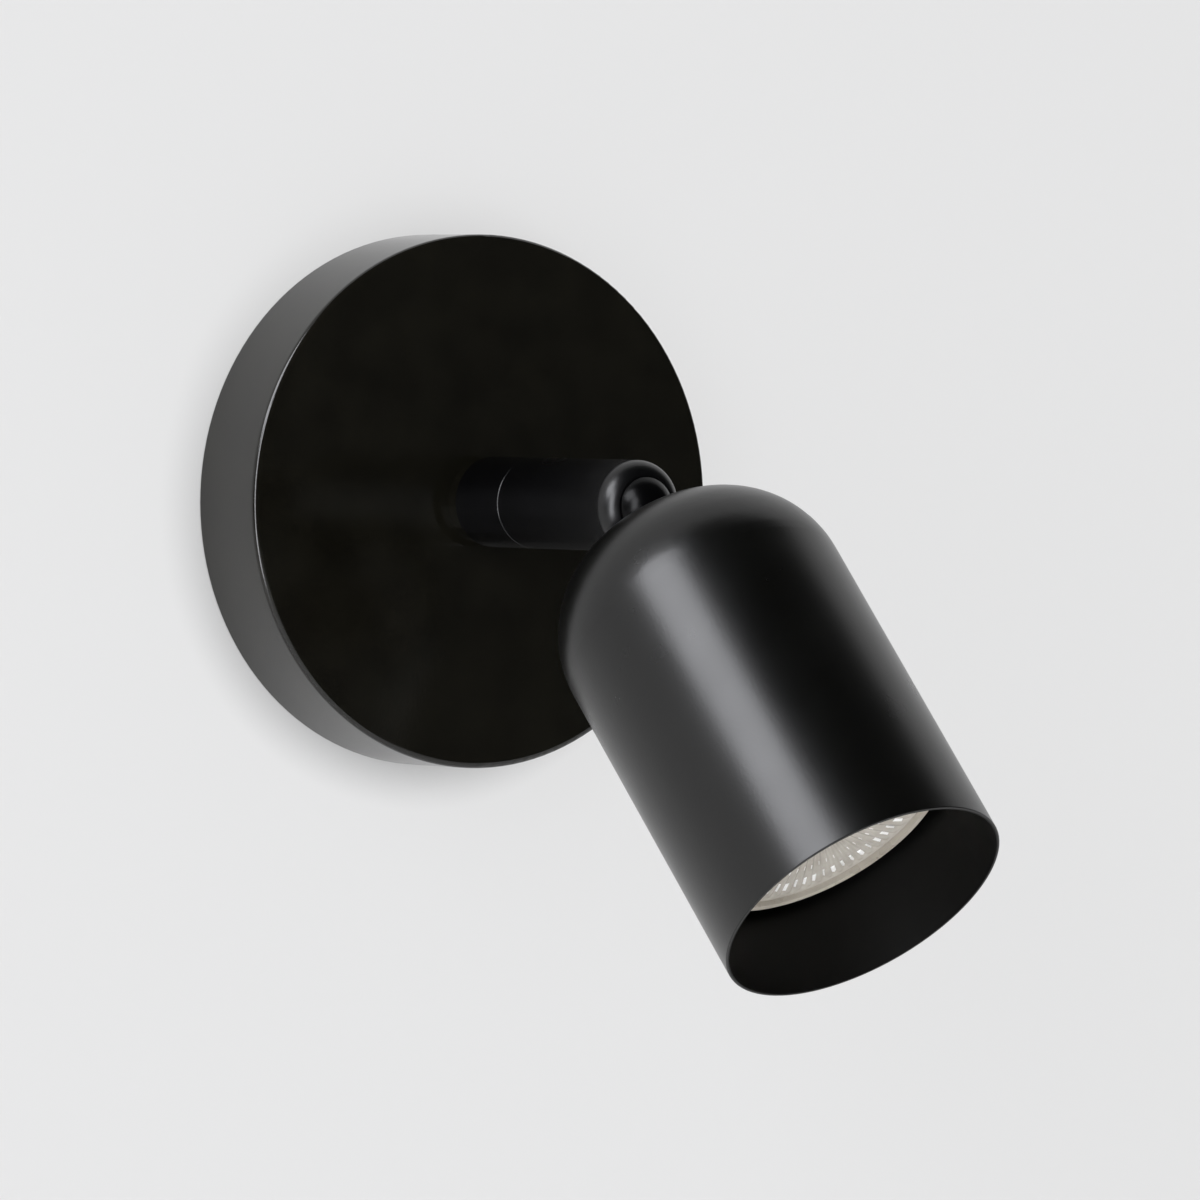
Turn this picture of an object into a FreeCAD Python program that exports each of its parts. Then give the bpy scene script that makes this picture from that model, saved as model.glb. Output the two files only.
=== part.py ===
import FreeCAD, Part
import math
import os

import Sketcher

# Pivoting spotlight wall light, in millimetres.
# The wall is the plane Y = 0, the light stands out towards -Y, and +Z is up.
# The origin is the centre of the mounting plate's rear face, between its two wall screw slots.
# A "station" is a distance from the wall along the arm line, so it lies at Y = -station.
# A "reach" is a distance from the ball's centre along the shade's own line.

DRIVING_SIZES = [
    # wall plate
    ("plate_radius", 50.0, "wall plate, outer radius"),
    ("plate_depth", 19.3, "wall plate, depth from the wall"),
    ("plate_wall", 1.2, "wall plate, sheet thickness"),
    ("plate_edge", 1.0, "wall plate, radius of the front edge"),
    # mounting plate
    ("mount_radius", 42.0, "mounting plate, disc radius"),
    ("mount_sheet", 1.5, "mounting plate, sheet thickness"),
    ("slot_pitch", 60.0, "wall screw slots, centre to centre"),
    ("slot_span", 10.0, "wall screw slots, end to end"),
    ("slot_width", 4.6, "wall screw slots, width"),
    ("cable_hole_radius", 8.0, "supply cable hole, radius"),
    ("ear_half_width", 6.0, "mounting plate ears, half width"),
    ("ear_depth", 11.0, "mounting plate ears, depth from the wall"),
    ("ear_gap", 0.35, "gap between an ear's corner and the wall plate's rim"),
    ("rim_screw_station", 5.2, "rim screws, distance from the wall"),
    ("rim_screw_radius", 2.0, "rim screws, thread radius"),
    ("rim_screw_size", 7.5, "rim screws, length"),
    ("rim_screw_sunk", 0.3, "rim screws, distance of their ends inside the rim's surface"),
    ("socket_share", 0.6, "hexagon sockets, radius as a share of their screw's radius"),
    ("slot_share", 0.2, "screwdriver slots, half width as a share of their screw's radius"),
    # terminal block
    ("block_near", 17.0, "terminal block, side next to the arm line"),
    ("block_width", 17.0, "terminal block, width across the wires' way"),
    ("block_length", 28.0, "terminal block, length along its poles"),
    ("block_height", 12.0, "terminal block, height"),
    ("pole_pitch", 9.0, "terminal block, pole to pole"),
    ("pole_height", 4.0, "terminal block, wire line above the mounting plate"),
    ("clamp_radius", 2.6, "terminal clamps, outer radius"),
    ("clamp_bore", 1.5, "terminal clamps, bore radius"),
    ("clamp_inset", 2.0, "terminal clamps, distance inside the block's sides"),
    ("clamp_screw_radius", 1.4, "clamp screws, radius"),
    ("clamp_screw_inset", 4.2, "clamp screws, distance inside the block's sides"),
    ("clamp_screw_sunk", 1.0, "clamp screws, distance of their ends inside the block's face"),
    ("clamp_well_gap", 0.4, "gap round the clamp screws in the block"),
    ("block_screw_radius", 1.25, "terminal block fixing screws, radius"),
    ("block_screw_head", 2.3, "terminal block fixing screws, head radius"),
    ("block_screw_sink", 4.0, "terminal block fixing screws, depth of the head's well"),
    # earth terminal
    ("earth_side", 26.0, "earth screw, distance from the arm line"),
    ("earth_screw_radius", 2.0, "earth screw, radius"),
    ("earth_head_radius", 3.6, "earth screw, head radius"),
    ("earth_head_height", 2.2, "earth screw, head height"),
    ("earth_washer_sheet", 0.6, "earth washer, thickness"),
    ("lug_radius", 4.2, "earth lug, ring radius"),
    ("lug_sheet", 0.8, "earth lug, thickness"),
    ("lug_barrel_radius", 1.35, "earth lug, barrel radius"),
    ("lug_barrel_size", 6.0, "earth lug, barrel length"),
    ("lug_neck", 1.0, "earth lug, distance from its ring to its barrel"),
    ("lug_floor", 1.0, "earth lug, solid length at the rear of its barrel"),
    # hollow nipple
    ("nipple_radius", 5.0, "hollow nipple, thread radius"),
    ("nipple_bore", 3.4, "hollow nipple, bore radius"),
    ("nipple_grip", 4.7, "hollow nipple, length inside the arm base"),
    ("nipple_tail", 0.4, "hollow nipple, length behind its locknut"),
    ("locknut_radius", 8.0, "locknut, radius over its corners"),
    ("locknut_height", 3.0, "locknut, height"),
    ("tooth_washer_radius", 8.6, "toothed washer, outer radius"),
    ("tooth_washer_sheet", 0.8, "toothed washer, thickness"),
    ("tooth_count", 12, "toothed washer, number of teeth"),
    ("tooth_gap_radius", 0.85, "toothed washer, radius of the gaps between its teeth"),
    ("bush_flange", 4.7, "lead bush, flange radius"),
    ("bush_sheet", 0.8, "lead bush, flange thickness"),
    ("bush_size", 3.2, "lead bush, length inside the nipple"),
    ("bush_bore", 1.75, "lead bush, bore radius"),
    # arm base and swivel
    ("collar_radius", 7.6, "collar between the wall plate and the arm base, radius"),
    ("collar_size", 4.0, "collar, length"),
    ("arm_radius", 8.45, "arm, outer radius"),
    ("base_size", 14.5, "arm base, length"),
    ("base_bore", 6.6, "arm base, chamber radius"),
    ("bearing_size", 3.6, "arm base, length of the swivel bearing"),
    ("insert_size", 5.0, "threaded insert, length"),
    ("seam_gap", 0.15, "gap at the swivel seam"),
    ("seam_chamfer", 0.1, "chamfer on both sides of the seam"),
    ("spindle_bore", 2.6, "swivel spindle, bore radius"),
    ("spindle_head", 6.2, "swivel spindle, head radius"),
    ("spindle_head_height", 1.8, "swivel spindle, head height"),
    ("disc_spring_rise", 1.0, "disc spring, height"),
    ("disc_spring_sheet", 0.4, "disc spring, thickness"),
    ("disc_spring_gap", 0.1, "gap between the disc spring and the bearing's face"),
    ("stop_pin_radius", 0.55, "swivel stop pin, radius"),
    ("stop_pin_root", 2.6, "swivel stop pin, length inside the arm base"),
    ("stop_pin_tip", 1.0, "swivel stop pin, length in front of the arm base"),
    ("stop_groove_depth", 1.3, "stop groove in the arm, depth"),
    ("stop_web_angle", 24.0, "stop web left in the groove, whole angle"),
    # arm
    ("arm_straight", 34.0, "arm, straight length in front of the seam"),
    ("nose_radius", 3.7, "arm, radius of the rounded nose"),
    ("nose_flat", 0.2, "arm, distance of the nose's flat face behind its full rounding"),
    ("plug_size", 8.0, "arm plug, length"),
    ("plug_wall", 2.15, "arm plug, distance from the arm's bore to the swivel spindle"),
    ("plug_grip", 7.0, "swivel spindle, length inside the arm plug"),
    # ball pivot
    ("arm_wall", 2.3, "arm, wall thickness round its bore"),
    ("ball_ahead", 1.15, "pivot ball's centre, distance in front of the nose's start"),
    ("ball_fit", 0.05, "running fit between the ball and its socket"),
    ("insert_room", 0.1, "extra radius of the arm's bore, so that the ball slides in"),
    ("trunnion_radius", 1.0, "trunnions on the ball, radius"),
    ("trunnion_reach", 1.2, "trunnions, length beyond the ball"),
    ("trunnion_fit", 0.08, "running fit of the trunnions in their grooves"),
    ("trunnion_end_gap", 0.15, "gap at the trunnions' ends"),
    ("stem_radius", 4.0, "hollow stem, radius"),
    ("stem_bore", 2.6, "hollow stem, bore radius"),
    ("stem_flange", 5.0, "stem flange under the shade, radius"),
    ("stem_flange_sheet", 0.9, "stem flange, thickness"),
    ("notch_gap", 0.3, "gap between the stem flange and the sides of the nose's notch"),
    ("lowest_tilt", 56.0, "steepest tilt of the shade's line below the arm line"),
    ("highest_tilt", 20.0, "steepest tilt of the shade's line above the arm line"),
    ("nose_gap", 0.35, "least gap between the shade and the nose, at the steepest tilt"),
    ("lead_slot_half", 1.9, "lead slot in the ball, half width"),
    ("lead_slot_room", 1.1, "lead slot in the ball, room beside the leads"),
    ("lead_slot_spare", 3.0, "lead slot in the ball, angle beyond the steepest tilts"),
    ("seat_size", 4.0, "ball seat, length behind its rim"),
    ("seat_bore", 3.3, "ball seat, bore radius"),
    ("seat_rim_inset", 0.65, "ball seat, distance of its inner rim inside the socket's radius"),
    ("spring_wire", 0.9, "ball spring, wire thickness"),
    ("spring_gap", 0.5, "gap between the ball spring and the arm's bore"),
    ("spring_turns", 6, "ball spring, number of turns"),
    # resting pose
    ("rest_tilt", 50.2, "shade's line below the arm line"),
    ("rest_swivel", 7.6, "arm turned about its own line"),
    # shade
    ("lamp_side_gap", 1.85, "gap between the lamp's face and the shade's wall"),
    ("shade_flat", 6.45, "shade, radius of the flat end that the stem passes through"),
    ("stem_neck", 0.5, "stem, length between the ball and the shade"),
    ("shade_size", 85.95, "shade, whole length"),
    ("shade_wall", 0.6, "shade, wall thickness"),
    ("shade_lip", 0.2, "shade, radius of the outer edge of its lip"),
    # lamp holder
    ("washer_radius", 6.2, "stem washer, radius"),
    ("washer_sheet", 1.0, "stem washer, thickness"),
    ("stem_nut_radius", 6.8, "stem nut, radius over its corners"),
    ("stem_nut_height", 3.0, "stem nut, height"),
    ("strap_gap", 1.5, "space between the stem nut and the holder strap"),
    ("strap_sheet", 1.5, "holder strap, thickness"),
    ("strap_half_size", 12.5, "holder strap, half length"),
    ("strap_half_width", 5.2, "holder strap, half width"),
    ("stem_end_past_strap", 0.5, "stem, length in front of the strap"),
    ("holder_radius", 12.6, "lamp holder, radius"),
    ("holder_size", 14.9, "lamp holder, length"),
    ("holder_screw_circle", 9.2, "lamp holder screws, distance from the shade's line"),
    ("holder_screw_radius", 1.5, "lamp holder screws, radius"),
    ("holder_screw_head", 2.6, "lamp holder screws, head radius"),
    ("holder_screw_head_height", 1.8, "lamp holder screws, head height"),
    ("holder_screw_sink", 3.6, "lamp holder screws, depth of the head's well"),
    ("holder_lead_hole", 2.45, "lamp holder, radius of the lead hole"),
    ("stem_recess_gap", 0.3, "gap round the stem's end in the lamp holder"),
    ("contact_sheet", 0.8, "lamp contacts, thickness"),
    ("contact_half_width", 1.5, "lamp contacts, half width"),
    ("contact_inner", 2.8, "lamp contacts, inner end from the shade's line"),
    ("contact_outer", 7.2, "lamp contacts, outer end from the shade's line"),
    ("contact_tail_half", 0.5, "lamp contacts, half width of the tail beside the lead"),
    # lamp
    ("lamp_gap", 0.3, "gap between the lamp and the holder"),
    ("pin_circle", 5.0, "bayonet pins, distance from the shade's line"),
    ("pin_neck", 1.55, "bayonet pins, neck radius"),
    ("pin_head", 2.5, "bayonet pins, head radius"),
    ("pin_size", 7.3, "bayonet pins, length behind the lamp"),
    ("pin_head_height", 2.2, "bayonet pins, head height"),
    ("pin_slot_gap", 0.3, "gap round the bayonet pins"),
    ("twist_angle", 20.0, "bayonet twist, angle"),
    ("lamp_base_radius", 12.8, "lamp base, radius"),
    ("lamp_base_size", 10.7, "lamp base, length"),
    ("lamp_base_bevel", 1.2, "lamp base, bevel of its rear edge"),
    ("lamp_base_floor", 2.2, "lamp base, floor thickness"),
    ("lamp_spigot", 2.0, "lamp base, length inside the lamp body"),
    ("lamp_spigot_wall", 1.6, "lamp base, wall thickness inside the lamp body"),
    ("lamp_radius", 25.0, "lamp, face radius"),
    ("lamp_wall", 1.1, "lamp body, wall thickness"),
    ("lamp_rear_cone", 4.0, "lamp body, length of the steep rear cone"),
    ("lamp_waist", 15.0, "lamp body, radius in front of the steep cone"),
    ("lamp_cone", 22.0, "lamp body, length of the long cone"),
    ("lamp_shoulder_step", 0.7, "lamp body, step from its shoulder to its face radius"),
    ("lamp_shoulder_size", 2.0, "lamp body, length of its shoulder"),
    ("lamp_band", 6.8, "lamp body, length of the straight front band"),
    ("board_radius", 13.4, "light board, radius"),
    ("board_sheet", 1.2, "light board, thickness"),
    ("board_ahead", 0.4, "light board, distance in front of the waist"),
    ("chip_radius", 5.0, "light chip, radius"),
    ("chip_height", 1.2, "light chip, height"),
    ("reflector_rear", 6.0, "reflector, inner radius at its rear end"),
    ("reflector_rim", 2.8, "reflector, width of its front rim inside the lamp's face"),
    ("reflector_wall", 0.8, "reflector, wall thickness"),
    ("glass_sheet", 1.8, "cover glass, thickness"),
    ("glass_inset", 0.5, "cover glass, distance behind the lamp's rim"),
    # leads and clearances
    ("lead_radius", 0.75, "leads, radius"),
    ("lead_side", 0.85, "leads of a pair, distance from their line"),
    ("lead_bend", 7.0, "leads, bend radius under the nipple"),
    ("lead_end_gap", 1.2, "leads, distance of their ends from the ball's centre"),
    ("lead_grip", 3.6, "leads, length inside the terminal block"),
    ("lead_straight", 3.0, "leads, straight length beside the terminal block"),
    ("lead_swivel_gap", 0.4, "gap between the leads' ends behind the swivel spindle"),
    ("earth_lead_straight", 4.0, "earth lead, straight length past its lug"),
    ("earth_lead_slope", 4.0, "earth lead, length of its climb for each unit of height"),
    ("earth_lead_bend", 6.0, "earth lead, bend radius"),
    ("sleeve_radius", 2.3, "insulating sleeves, radius"),
    ("sleeve_bore", 1.7, "insulating sleeves, bore radius"),
    ("sleeve_gap", 0.3, "insulating sleeves, gap at their ends"),
    ("sleeve_start", 4.5, "insulating sleeve in the head, reach of its rear end"),
    ("thread_fit", 0.05, "radial clearance of threads and sleeves"),
    ("hole_fit", 0.1, "radial clearance of plain holes"),
]


class Size:
    """A number together with the sheet expression that gives it."""

    def __init__(self, value, text):
        self.value = float(value)
        self.text = text

    def __add__(self, other):
        other = as_size(other)
        return Size(self.value + other.value, f"({self.text} + {other.text})")

    def __sub__(self, other):
        other = as_size(other)
        return Size(self.value - other.value, f"({self.text} - {other.text})")

    def __mul__(self, other):
        other = as_size(other)
        return Size(self.value * other.value, f"({self.text} * {other.text})")

    def __truediv__(self, other):
        other = as_size(other)
        return Size(self.value / other.value, f"({self.text} / {other.text})")

    def __radd__(self, other):
        return as_size(other) + self

    def __rsub__(self, other):
        return as_size(other) - self

    def __rmul__(self, other):
        return as_size(other) * self

    def __neg__(self):
        return Size(-self.value, f"(0 - {self.text})")


def as_size(number):
    """Turn a plain number into a Size, and leave a Size as it is."""
    if isinstance(number, Size):
        return number
    return Size(number, repr(float(number)))


def root(size):
    """Square root of a Size."""
    return Size(math.sqrt(size.value), f"sqrt({size.text})")


def sine(angle):
    """Sine of an angle in degrees."""
    return Size(math.sin(math.radians(angle.value)), f"sin({angle.text})")


def cosine(angle):
    """Cosine of an angle in degrees."""
    return Size(math.cos(math.radians(angle.value)), f"cos({angle.text})")


def across(hypotenuse, side):
    """Third side of a right-angled triangle."""
    return root(hypotenuse * hypotenuse - side * side)


class Sizes:
    """The driving sizes, each in a named cell of the sheet."""

    def __init__(self, document, rows):
        sheet = document.addObject("Spreadsheet::Sheet", "Sizes")
        for line, (name, value, note) in enumerate(rows, start=1):
            sheet.set(f"A{line}", note)
            sheet.set(f"B{line}", str(value))
            sheet.setAlias(f"B{line}", name)
            setattr(self, name, Size(value, f"Sizes.{name}"))


doc = FreeCAD.newDocument("spotlight")
d = Sizes(doc, DRIVING_SIZES)
doc.recompute()

NOTHING = as_size(0)
BEYOND = 1      # how far a cutting tool runs past what it cuts
UP = FreeCAD.Vector(0, 0, 1)
OUT = FreeCAD.Vector(0, -1, 0)
SIDE = FreeCAD.Vector(1, 0, 0)

# radii that several pieces share
ARM_BORE = d.arm_radius - d.arm_wall
SPINDLE_RADIUS = ARM_BORE - d.plug_wall
SOCKET_RADIUS = ARM_BORE - d.insert_room
BALL_RADIUS = SOCKET_RADIUS - d.ball_fit
STOP_PIN_CIRCLE = (ARM_BORE + d.arm_radius) / 2
SPRING_RADIUS = ARM_BORE - d.spring_gap - d.spring_wire / 2
SEAT_RIM = SOCKET_RADIUS - d.seat_rim_inset
SHADE_RADIUS = d.lamp_radius + d.lamp_side_gap + d.shade_wall
LAMP_SHOULDER_RADIUS = d.lamp_radius - d.lamp_shoulder_step
REFLECTOR_FRONT = d.lamp_radius - d.reflector_rim

# stations that several pieces share
MOUNT_FACE = d.mount_sheet
PLATE_FRONT = d.plate_depth
PLATE_INNER = d.plate_depth - d.plate_wall
COLLAR_FRONT = PLATE_FRONT + d.collar_size
BASE_FRONT = COLLAR_FRONT + d.base_size
BEARING_REAR = BASE_FRONT - d.bearing_size
ARM_REAR = BASE_FRONT + d.seam_gap
NOSE_START = ARM_REAR + d.arm_straight
NOSE_FACE = NOSE_START + d.nose_radius - d.nose_flat
NOSE_FACE_RADIUS = d.arm_radius - d.nose_radius + across(d.nose_radius, NOSE_FACE - NOSE_START)
BALL_STATION = NOSE_START + d.ball_ahead
NOSE_OPENING = across(SOCKET_RADIUS, NOSE_FACE - BALL_STATION)
LOCKNUT_FRONT = PLATE_INNER - d.tooth_washer_sheet
LOCKNUT_REAR = LOCKNUT_FRONT - d.locknut_height
NIPPLE_REAR = LOCKNUT_REAR - d.nipple_tail
SPINDLE_SHOULDER = BEARING_REAR - d.disc_spring_gap - d.disc_spring_rise
SPINDLE_REAR = SPINDLE_SHOULDER - d.spindle_head_height
PLUG_FRONT = ARM_REAR + d.plug_size
SEAT_FRONT = BALL_STATION - across(SOCKET_RADIUS, SEAT_RIM)
SEAT_REAR = SEAT_FRONT - d.seat_size
POLE_STATION = MOUNT_FACE + d.pole_height

BLOCK_MIDDLE = d.block_near + d.block_width / 2
LUG_BARREL_START = d.lug_radius + d.lug_neck - d.earth_side
LUG_BARREL_STATION = MOUNT_FACE + d.lug_barrel_radius + d.hole_fit

# reaches that several pieces share
SHADE_APEX = BALL_RADIUS + d.stem_neck
SHADE_INNER = SHADE_APEX + d.shade_wall
SHADE_CORNER = SHADE_RADIUS - d.shade_flat
SHADE_MOUTH = SHADE_APEX + d.shade_size
NUT_REAR = SHADE_INNER + d.washer_sheet
NUT_FRONT = NUT_REAR + d.stem_nut_height
STRAP_REAR = NUT_FRONT + d.strap_gap
STRAP_FRONT = STRAP_REAR + d.strap_sheet
STEM_END = STRAP_FRONT + d.stem_end_past_strap
HOLDER_FRONT = STRAP_FRONT + d.holder_size
LAMP_REAR = HOLDER_FRONT + d.lamp_gap
PIN_TIP = LAMP_REAR - d.pin_size
CONTACT_FRONT = PIN_TIP - d.lamp_gap
CONTACT_REAR = CONTACT_FRONT - d.contact_sheet
LAMP_BODY_REAR = LAMP_REAR + d.lamp_base_size
LAMP_WAIST = LAMP_BODY_REAR + d.lamp_rear_cone
LAMP_SHOULDER = LAMP_WAIST + d.lamp_cone
LAMP_BAND = LAMP_SHOULDER + d.lamp_shoulder_size
LAMP_FACE = LAMP_BAND + d.lamp_band
BOARD_REAR = LAMP_WAIST + d.board_ahead
BOARD_FRONT = BOARD_REAR + d.board_sheet


# ---------------------------------------------------------------- sketching

def sketch_on(body, role, name):
    """Start a sketch on one of the body's own origin planes."""
    plane = next(f for f in body.Origin.OriginFeatures if f.Role == role)
    sketch = body.newObject("Sketcher::SketchObject", name)
    sketch.AttachmentSupport = [(plane, "")]
    sketch.MapMode = "FlatFace"
    return sketch


def bind_datum(sketch, constraint, name, size):
    """Add a constraint and tie its value to a size."""
    index = sketch.addConstraint(constraint)
    sketch.renameConstraint(index, name)
    sketch.setExpression(f"Constraints.{name}", size.text)


def arc_centre(start, end, radius, side):
    """Centre of an arc under a half circle; side 1 puts it left of the way from start to end."""
    chord = end - start
    height = math.sqrt(max(radius * radius - chord.Length * chord.Length / 4, 0))
    left = FreeCAD.Vector(-chord.y, chord.x, 0)
    left.normalize()
    return (start + end) * 0.5 + left * (height * side)


def draw_outline(sketch, corners, label=""):
    """Draw a closed outline.

    A corner is (x, y), reached by a straight line, or (x, y, radius, side), reached by an arc.
    """
    vertices = [FreeCAD.Vector(c[0].value, c[1].value, 0) for c in corners]
    edges = []
    for index, corner in enumerate(corners):
        start, end = vertices[index - 1], vertices[index]
        if len(corner) == 2:
            number = sketch.addGeometry(Part.LineSegment(start, end), False)
            edges.append((number, 1, 2))
            continue
        radius, side = corner[2], corner[3]
        centre = arc_centre(start, end, radius.value, side)
        first, last = (start, end) if side > 0 else (end, start)
        first_angle = math.atan2(first.y - centre.y, first.x - centre.x)
        last_angle = math.atan2(last.y - centre.y, last.x - centre.x)
        circle = Part.Circle(centre, UP, radius.value)
        number = sketch.addGeometry(Part.ArcOfCircle(circle, first_angle, last_angle), False)
        edges.append((number, 1, 2) if side > 0 else (number, 2, 1))
        bind_datum(
            sketch,
            Sketcher.Constraint("Radius", number, radius.value),
            f"{label}arc{index}",
            radius,
        )
    for index, (number, _, end) in enumerate(edges):
        follower, follower_start, _ = edges[(index + 1) % len(edges)]
        sketch.addConstraint(
            Sketcher.Constraint("Coincident", number, end, follower, follower_start)
        )
        for kind, axis in (("DistanceX", 0), ("DistanceY", 1)):
            size = corners[index][axis]
            bind_datum(
                sketch,
                Sketcher.Constraint(kind, -1, 1, number, end, size.value),
                f"{label}{kind[-1].lower()}{index}",
                size,
            )


def draw_circle(sketch, x, y, radius, label=""):
    """Draw a circle with its centre and radius tied to sizes."""
    centre = FreeCAD.Vector(x.value, y.value, 0)
    number = sketch.addGeometry(Part.Circle(centre, UP, radius.value), False)
    bind_datum(sketch, Sketcher.Constraint("Radius", number, radius.value), f"{label}r", radius)
    for kind, size in (("DistanceX", x), ("DistanceY", y)):
        bind_datum(
            sketch,
            Sketcher.Constraint(kind, -1, 1, number, 3, size.value),
            f"{label}{kind[-1].lower()}",
            size,
        )


def rectangle(x_low, x_high, y_low, y_high):
    """Corners of a rectangle."""
    return [(x_low, y_low), (x_high, y_low), (x_high, y_high), (x_low, y_high)]


# ---------------------------------------------------------------- solids

def turned(name, corners):
    """A piece turned about the arm line: each corner starts with (radius, station)."""
    body = doc.addObject("PartDesign::Body", name)
    sketch = sketch_on(body, "XY_Plane", f"{name}_profile")
    outline = []
    for corner in corners:
        radius, station = as_size(corner[0]), as_size(corner[1])
        outline.append((radius, -station) + tuple(corner[2:]))
    draw_outline(sketch, outline)
    turn = body.newObject("PartDesign::Revolution", f"{name}_turn")
    turn.Profile = sketch
    turn.ReferenceAxis = (sketch, ["V_Axis"])
    turn.Angle = 360
    doc.recompute()
    return body


def pad(body, sketch, length, midplane=False):
    """Pad a sketch, on both sides of its plane if asked."""
    feature = body.newObject("PartDesign::Pad", f"{sketch.Name}_pad")
    feature.Profile = sketch
    feature.Midplane = midplane
    feature.setExpression("Length", length.text)
    doc.recompute()
    return feature


def pocket(body, sketch, length, midplane=False, reverse=False):
    """Pocket a sketch, and stop if it takes nothing away."""
    before = body.Shape.Volume
    feature = body.newObject("PartDesign::Pocket", f"{sketch.Name}_pocket")
    feature.Profile = sketch
    feature.Midplane = midplane
    feature.Reversed = reverse
    feature.setExpression("Length", length.text)
    doc.recompute()
    if body.Shape.Volume > before - 1e-6:
        raise RuntimeError(f"{feature.Name} cuts nothing")
    return feature


def tube(name, outer, inner, start, end):
    """A plain ring or tube about the arm line, between two stations."""
    return turned(name, [(inner, start), (outer, start), (outer, end), (inner, end)])


def point_along(direction):
    """Rotation that turns a primitive's own axis into a direction."""
    return FreeCAD.Rotation(UP, direction)


def set_base(item, x, y, z, rotation=None):
    """Place an item, with its position tied to sizes."""
    rotation = rotation or FreeCAD.Rotation()
    item.Placement = FreeCAD.Placement(FreeCAD.Vector(x.value, y.value, z.value), rotation)
    for axis, size in (("x", x), ("y", y), ("z", z)):
        item.setExpression(f".Placement.Base.{axis}", size.text)


def rod(name, radius, length, x, y, z, direction):
    """A cylinder that starts at a point and runs in a direction."""
    item = doc.addObject("Part::Cylinder", name)
    item.setExpression("Radius", radius.text)
    item.setExpression("Height", length.text)
    set_base(item, x, y, z, point_along(direction))
    return item


def block(name, x, y, z):
    """A box between two values on each axis."""
    item = doc.addObject("Part::Box", name)
    for property_name, (low, high) in (("Length", x), ("Width", y), ("Height", z)):
        item.setExpression(property_name, (high - low).text)
    set_base(item, x[0], y[0], z[0])
    return item


def hexagon(name, radius, height, x, y, z, direction):
    """A six-sided prism that starts at a point and runs in a direction."""
    item = doc.addObject("Part::Prism", name)
    item.Polygon = 6
    item.setExpression("Circumradius", radius.text)
    item.setExpression("Height", height.text)
    set_base(item, x, y, z, point_along(direction))
    return item


def fused(name, items):
    """One solid from several."""
    item = doc.addObject("Part::MultiFuse", name)
    item.Shapes = items
    return item


def cut(name, base, tools):
    """A base less one or more tools."""
    item = doc.addObject("Part::Cut", name)
    item.Base = base
    item.Tool = tools[0] if len(tools) == 1 else fused(f"{name}_tools", tools)
    return item


def group(name, items):
    """Several like solids kept as one sub-part."""
    item = doc.addObject("Part::Compound", name)
    item.Links = items
    return item


def nut(name, radius, height, bore, start):
    """A hexagon nut about the arm line."""
    body = hexagon(f"{name}_body", radius, height, NOTHING, -start, NOTHING, OUT)
    hole = rod(f"{name}_hole", bore, height + 2 * BEYOND, NOTHING, -(start - BEYOND), NOTHING, OUT)
    return cut(name, body, [hole])


def rounded_wire(points, bend):
    """Straight runs joined by tangent arcs, each at most as large as its two runs allow."""
    edges = []
    here = points[0]
    for before, corner, after in zip(points, points[1:], points[2:]):
        arriving = (corner - before).normalize()
        leaving = (after - corner).normalize()
        half_turn = arriving.getAngle(leaving) / 2
        shorter = min((corner - before).Length, (after - corner).Length)
        radius = min(bend, 0.45 * shorter / math.tan(half_turn))
        step = radius * math.tan(half_turn)
        first = corner - arriving * step
        last = corner + leaving * step
        inward = (leaving - arriving).normalize()
        middle = corner + inward * (radius / math.cos(half_turn) - radius)
        edges.append(Part.LineSegment(here, first).toShape())
        edges.append(Part.Arc(first, middle, last).toShape())
        here = last
    edges.append(Part.LineSegment(here, points[-1]).toShape())
    return Part.Wire(edges)


def lead(name, points, bend):
    """A lead along a path of points."""
    radius = d.lead_radius.value
    path = rounded_wire(points, bend)
    start = path.OrderedEdges[0]
    ring = Part.Wire(Part.makeCircle(radius, points[0], start.tangentAt(start.FirstParameter)))
    shape = path.makePipeShell([ring], True, False)
    expected = math.pi * radius ** 2 * path.Length
    if abs(shape.Volume / expected - 1) > 0.01:
        raise RuntimeError(f"{name} has the wrong volume")
    item = doc.addObject("Part::Feature", name)
    item.Shape = shape
    return item


# ---------------------------------------------------------------- frames

ARM_ROLL = FreeCAD.Rotation(FreeCAD.Vector(0, 1, 0), -d.rest_swivel.value)
HEAD_TURN = ARM_ROLL.multiply(FreeCAD.Rotation(SIDE, d.rest_tilt.value))


def on_arm(item):
    """Turn a piece about the arm line, as the arm rests."""
    set_base(item, NOTHING, NOTHING, NOTHING, ARM_ROLL)
    return item


def on_head(item):
    """Move a piece drawn about the ball's centre to the head's resting pose."""
    set_base(item, NOTHING, -BALL_STATION, NOTHING, HEAD_TURN)
    return item


# ---------------------------------------------------------------- wall side

def wall_plate():
    rim_inside = d.plate_radius - d.plate_wall
    hole = d.nipple_radius + d.hole_fit
    body = turned("canopy", [
        (rim_inside, NOTHING),
        (d.plate_radius, NOTHING),
        (d.plate_radius, PLATE_FRONT - d.plate_edge),
        (d.plate_radius - d.plate_edge, PLATE_FRONT, d.plate_edge, -1),
        (hole, PLATE_FRONT),
        (hole, PLATE_INNER),
        (rim_inside, PLATE_INNER),
    ])
    sketch = sketch_on(body, "XY_Plane", "rim_screw_holes")
    draw_circle(sketch, NOTHING, -d.rim_screw_station, d.rim_screw_radius + d.hole_fit)
    pocket(body, sketch, d.plate_radius * 2 + 2 * BEYOND, midplane=True)
    return body


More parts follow.
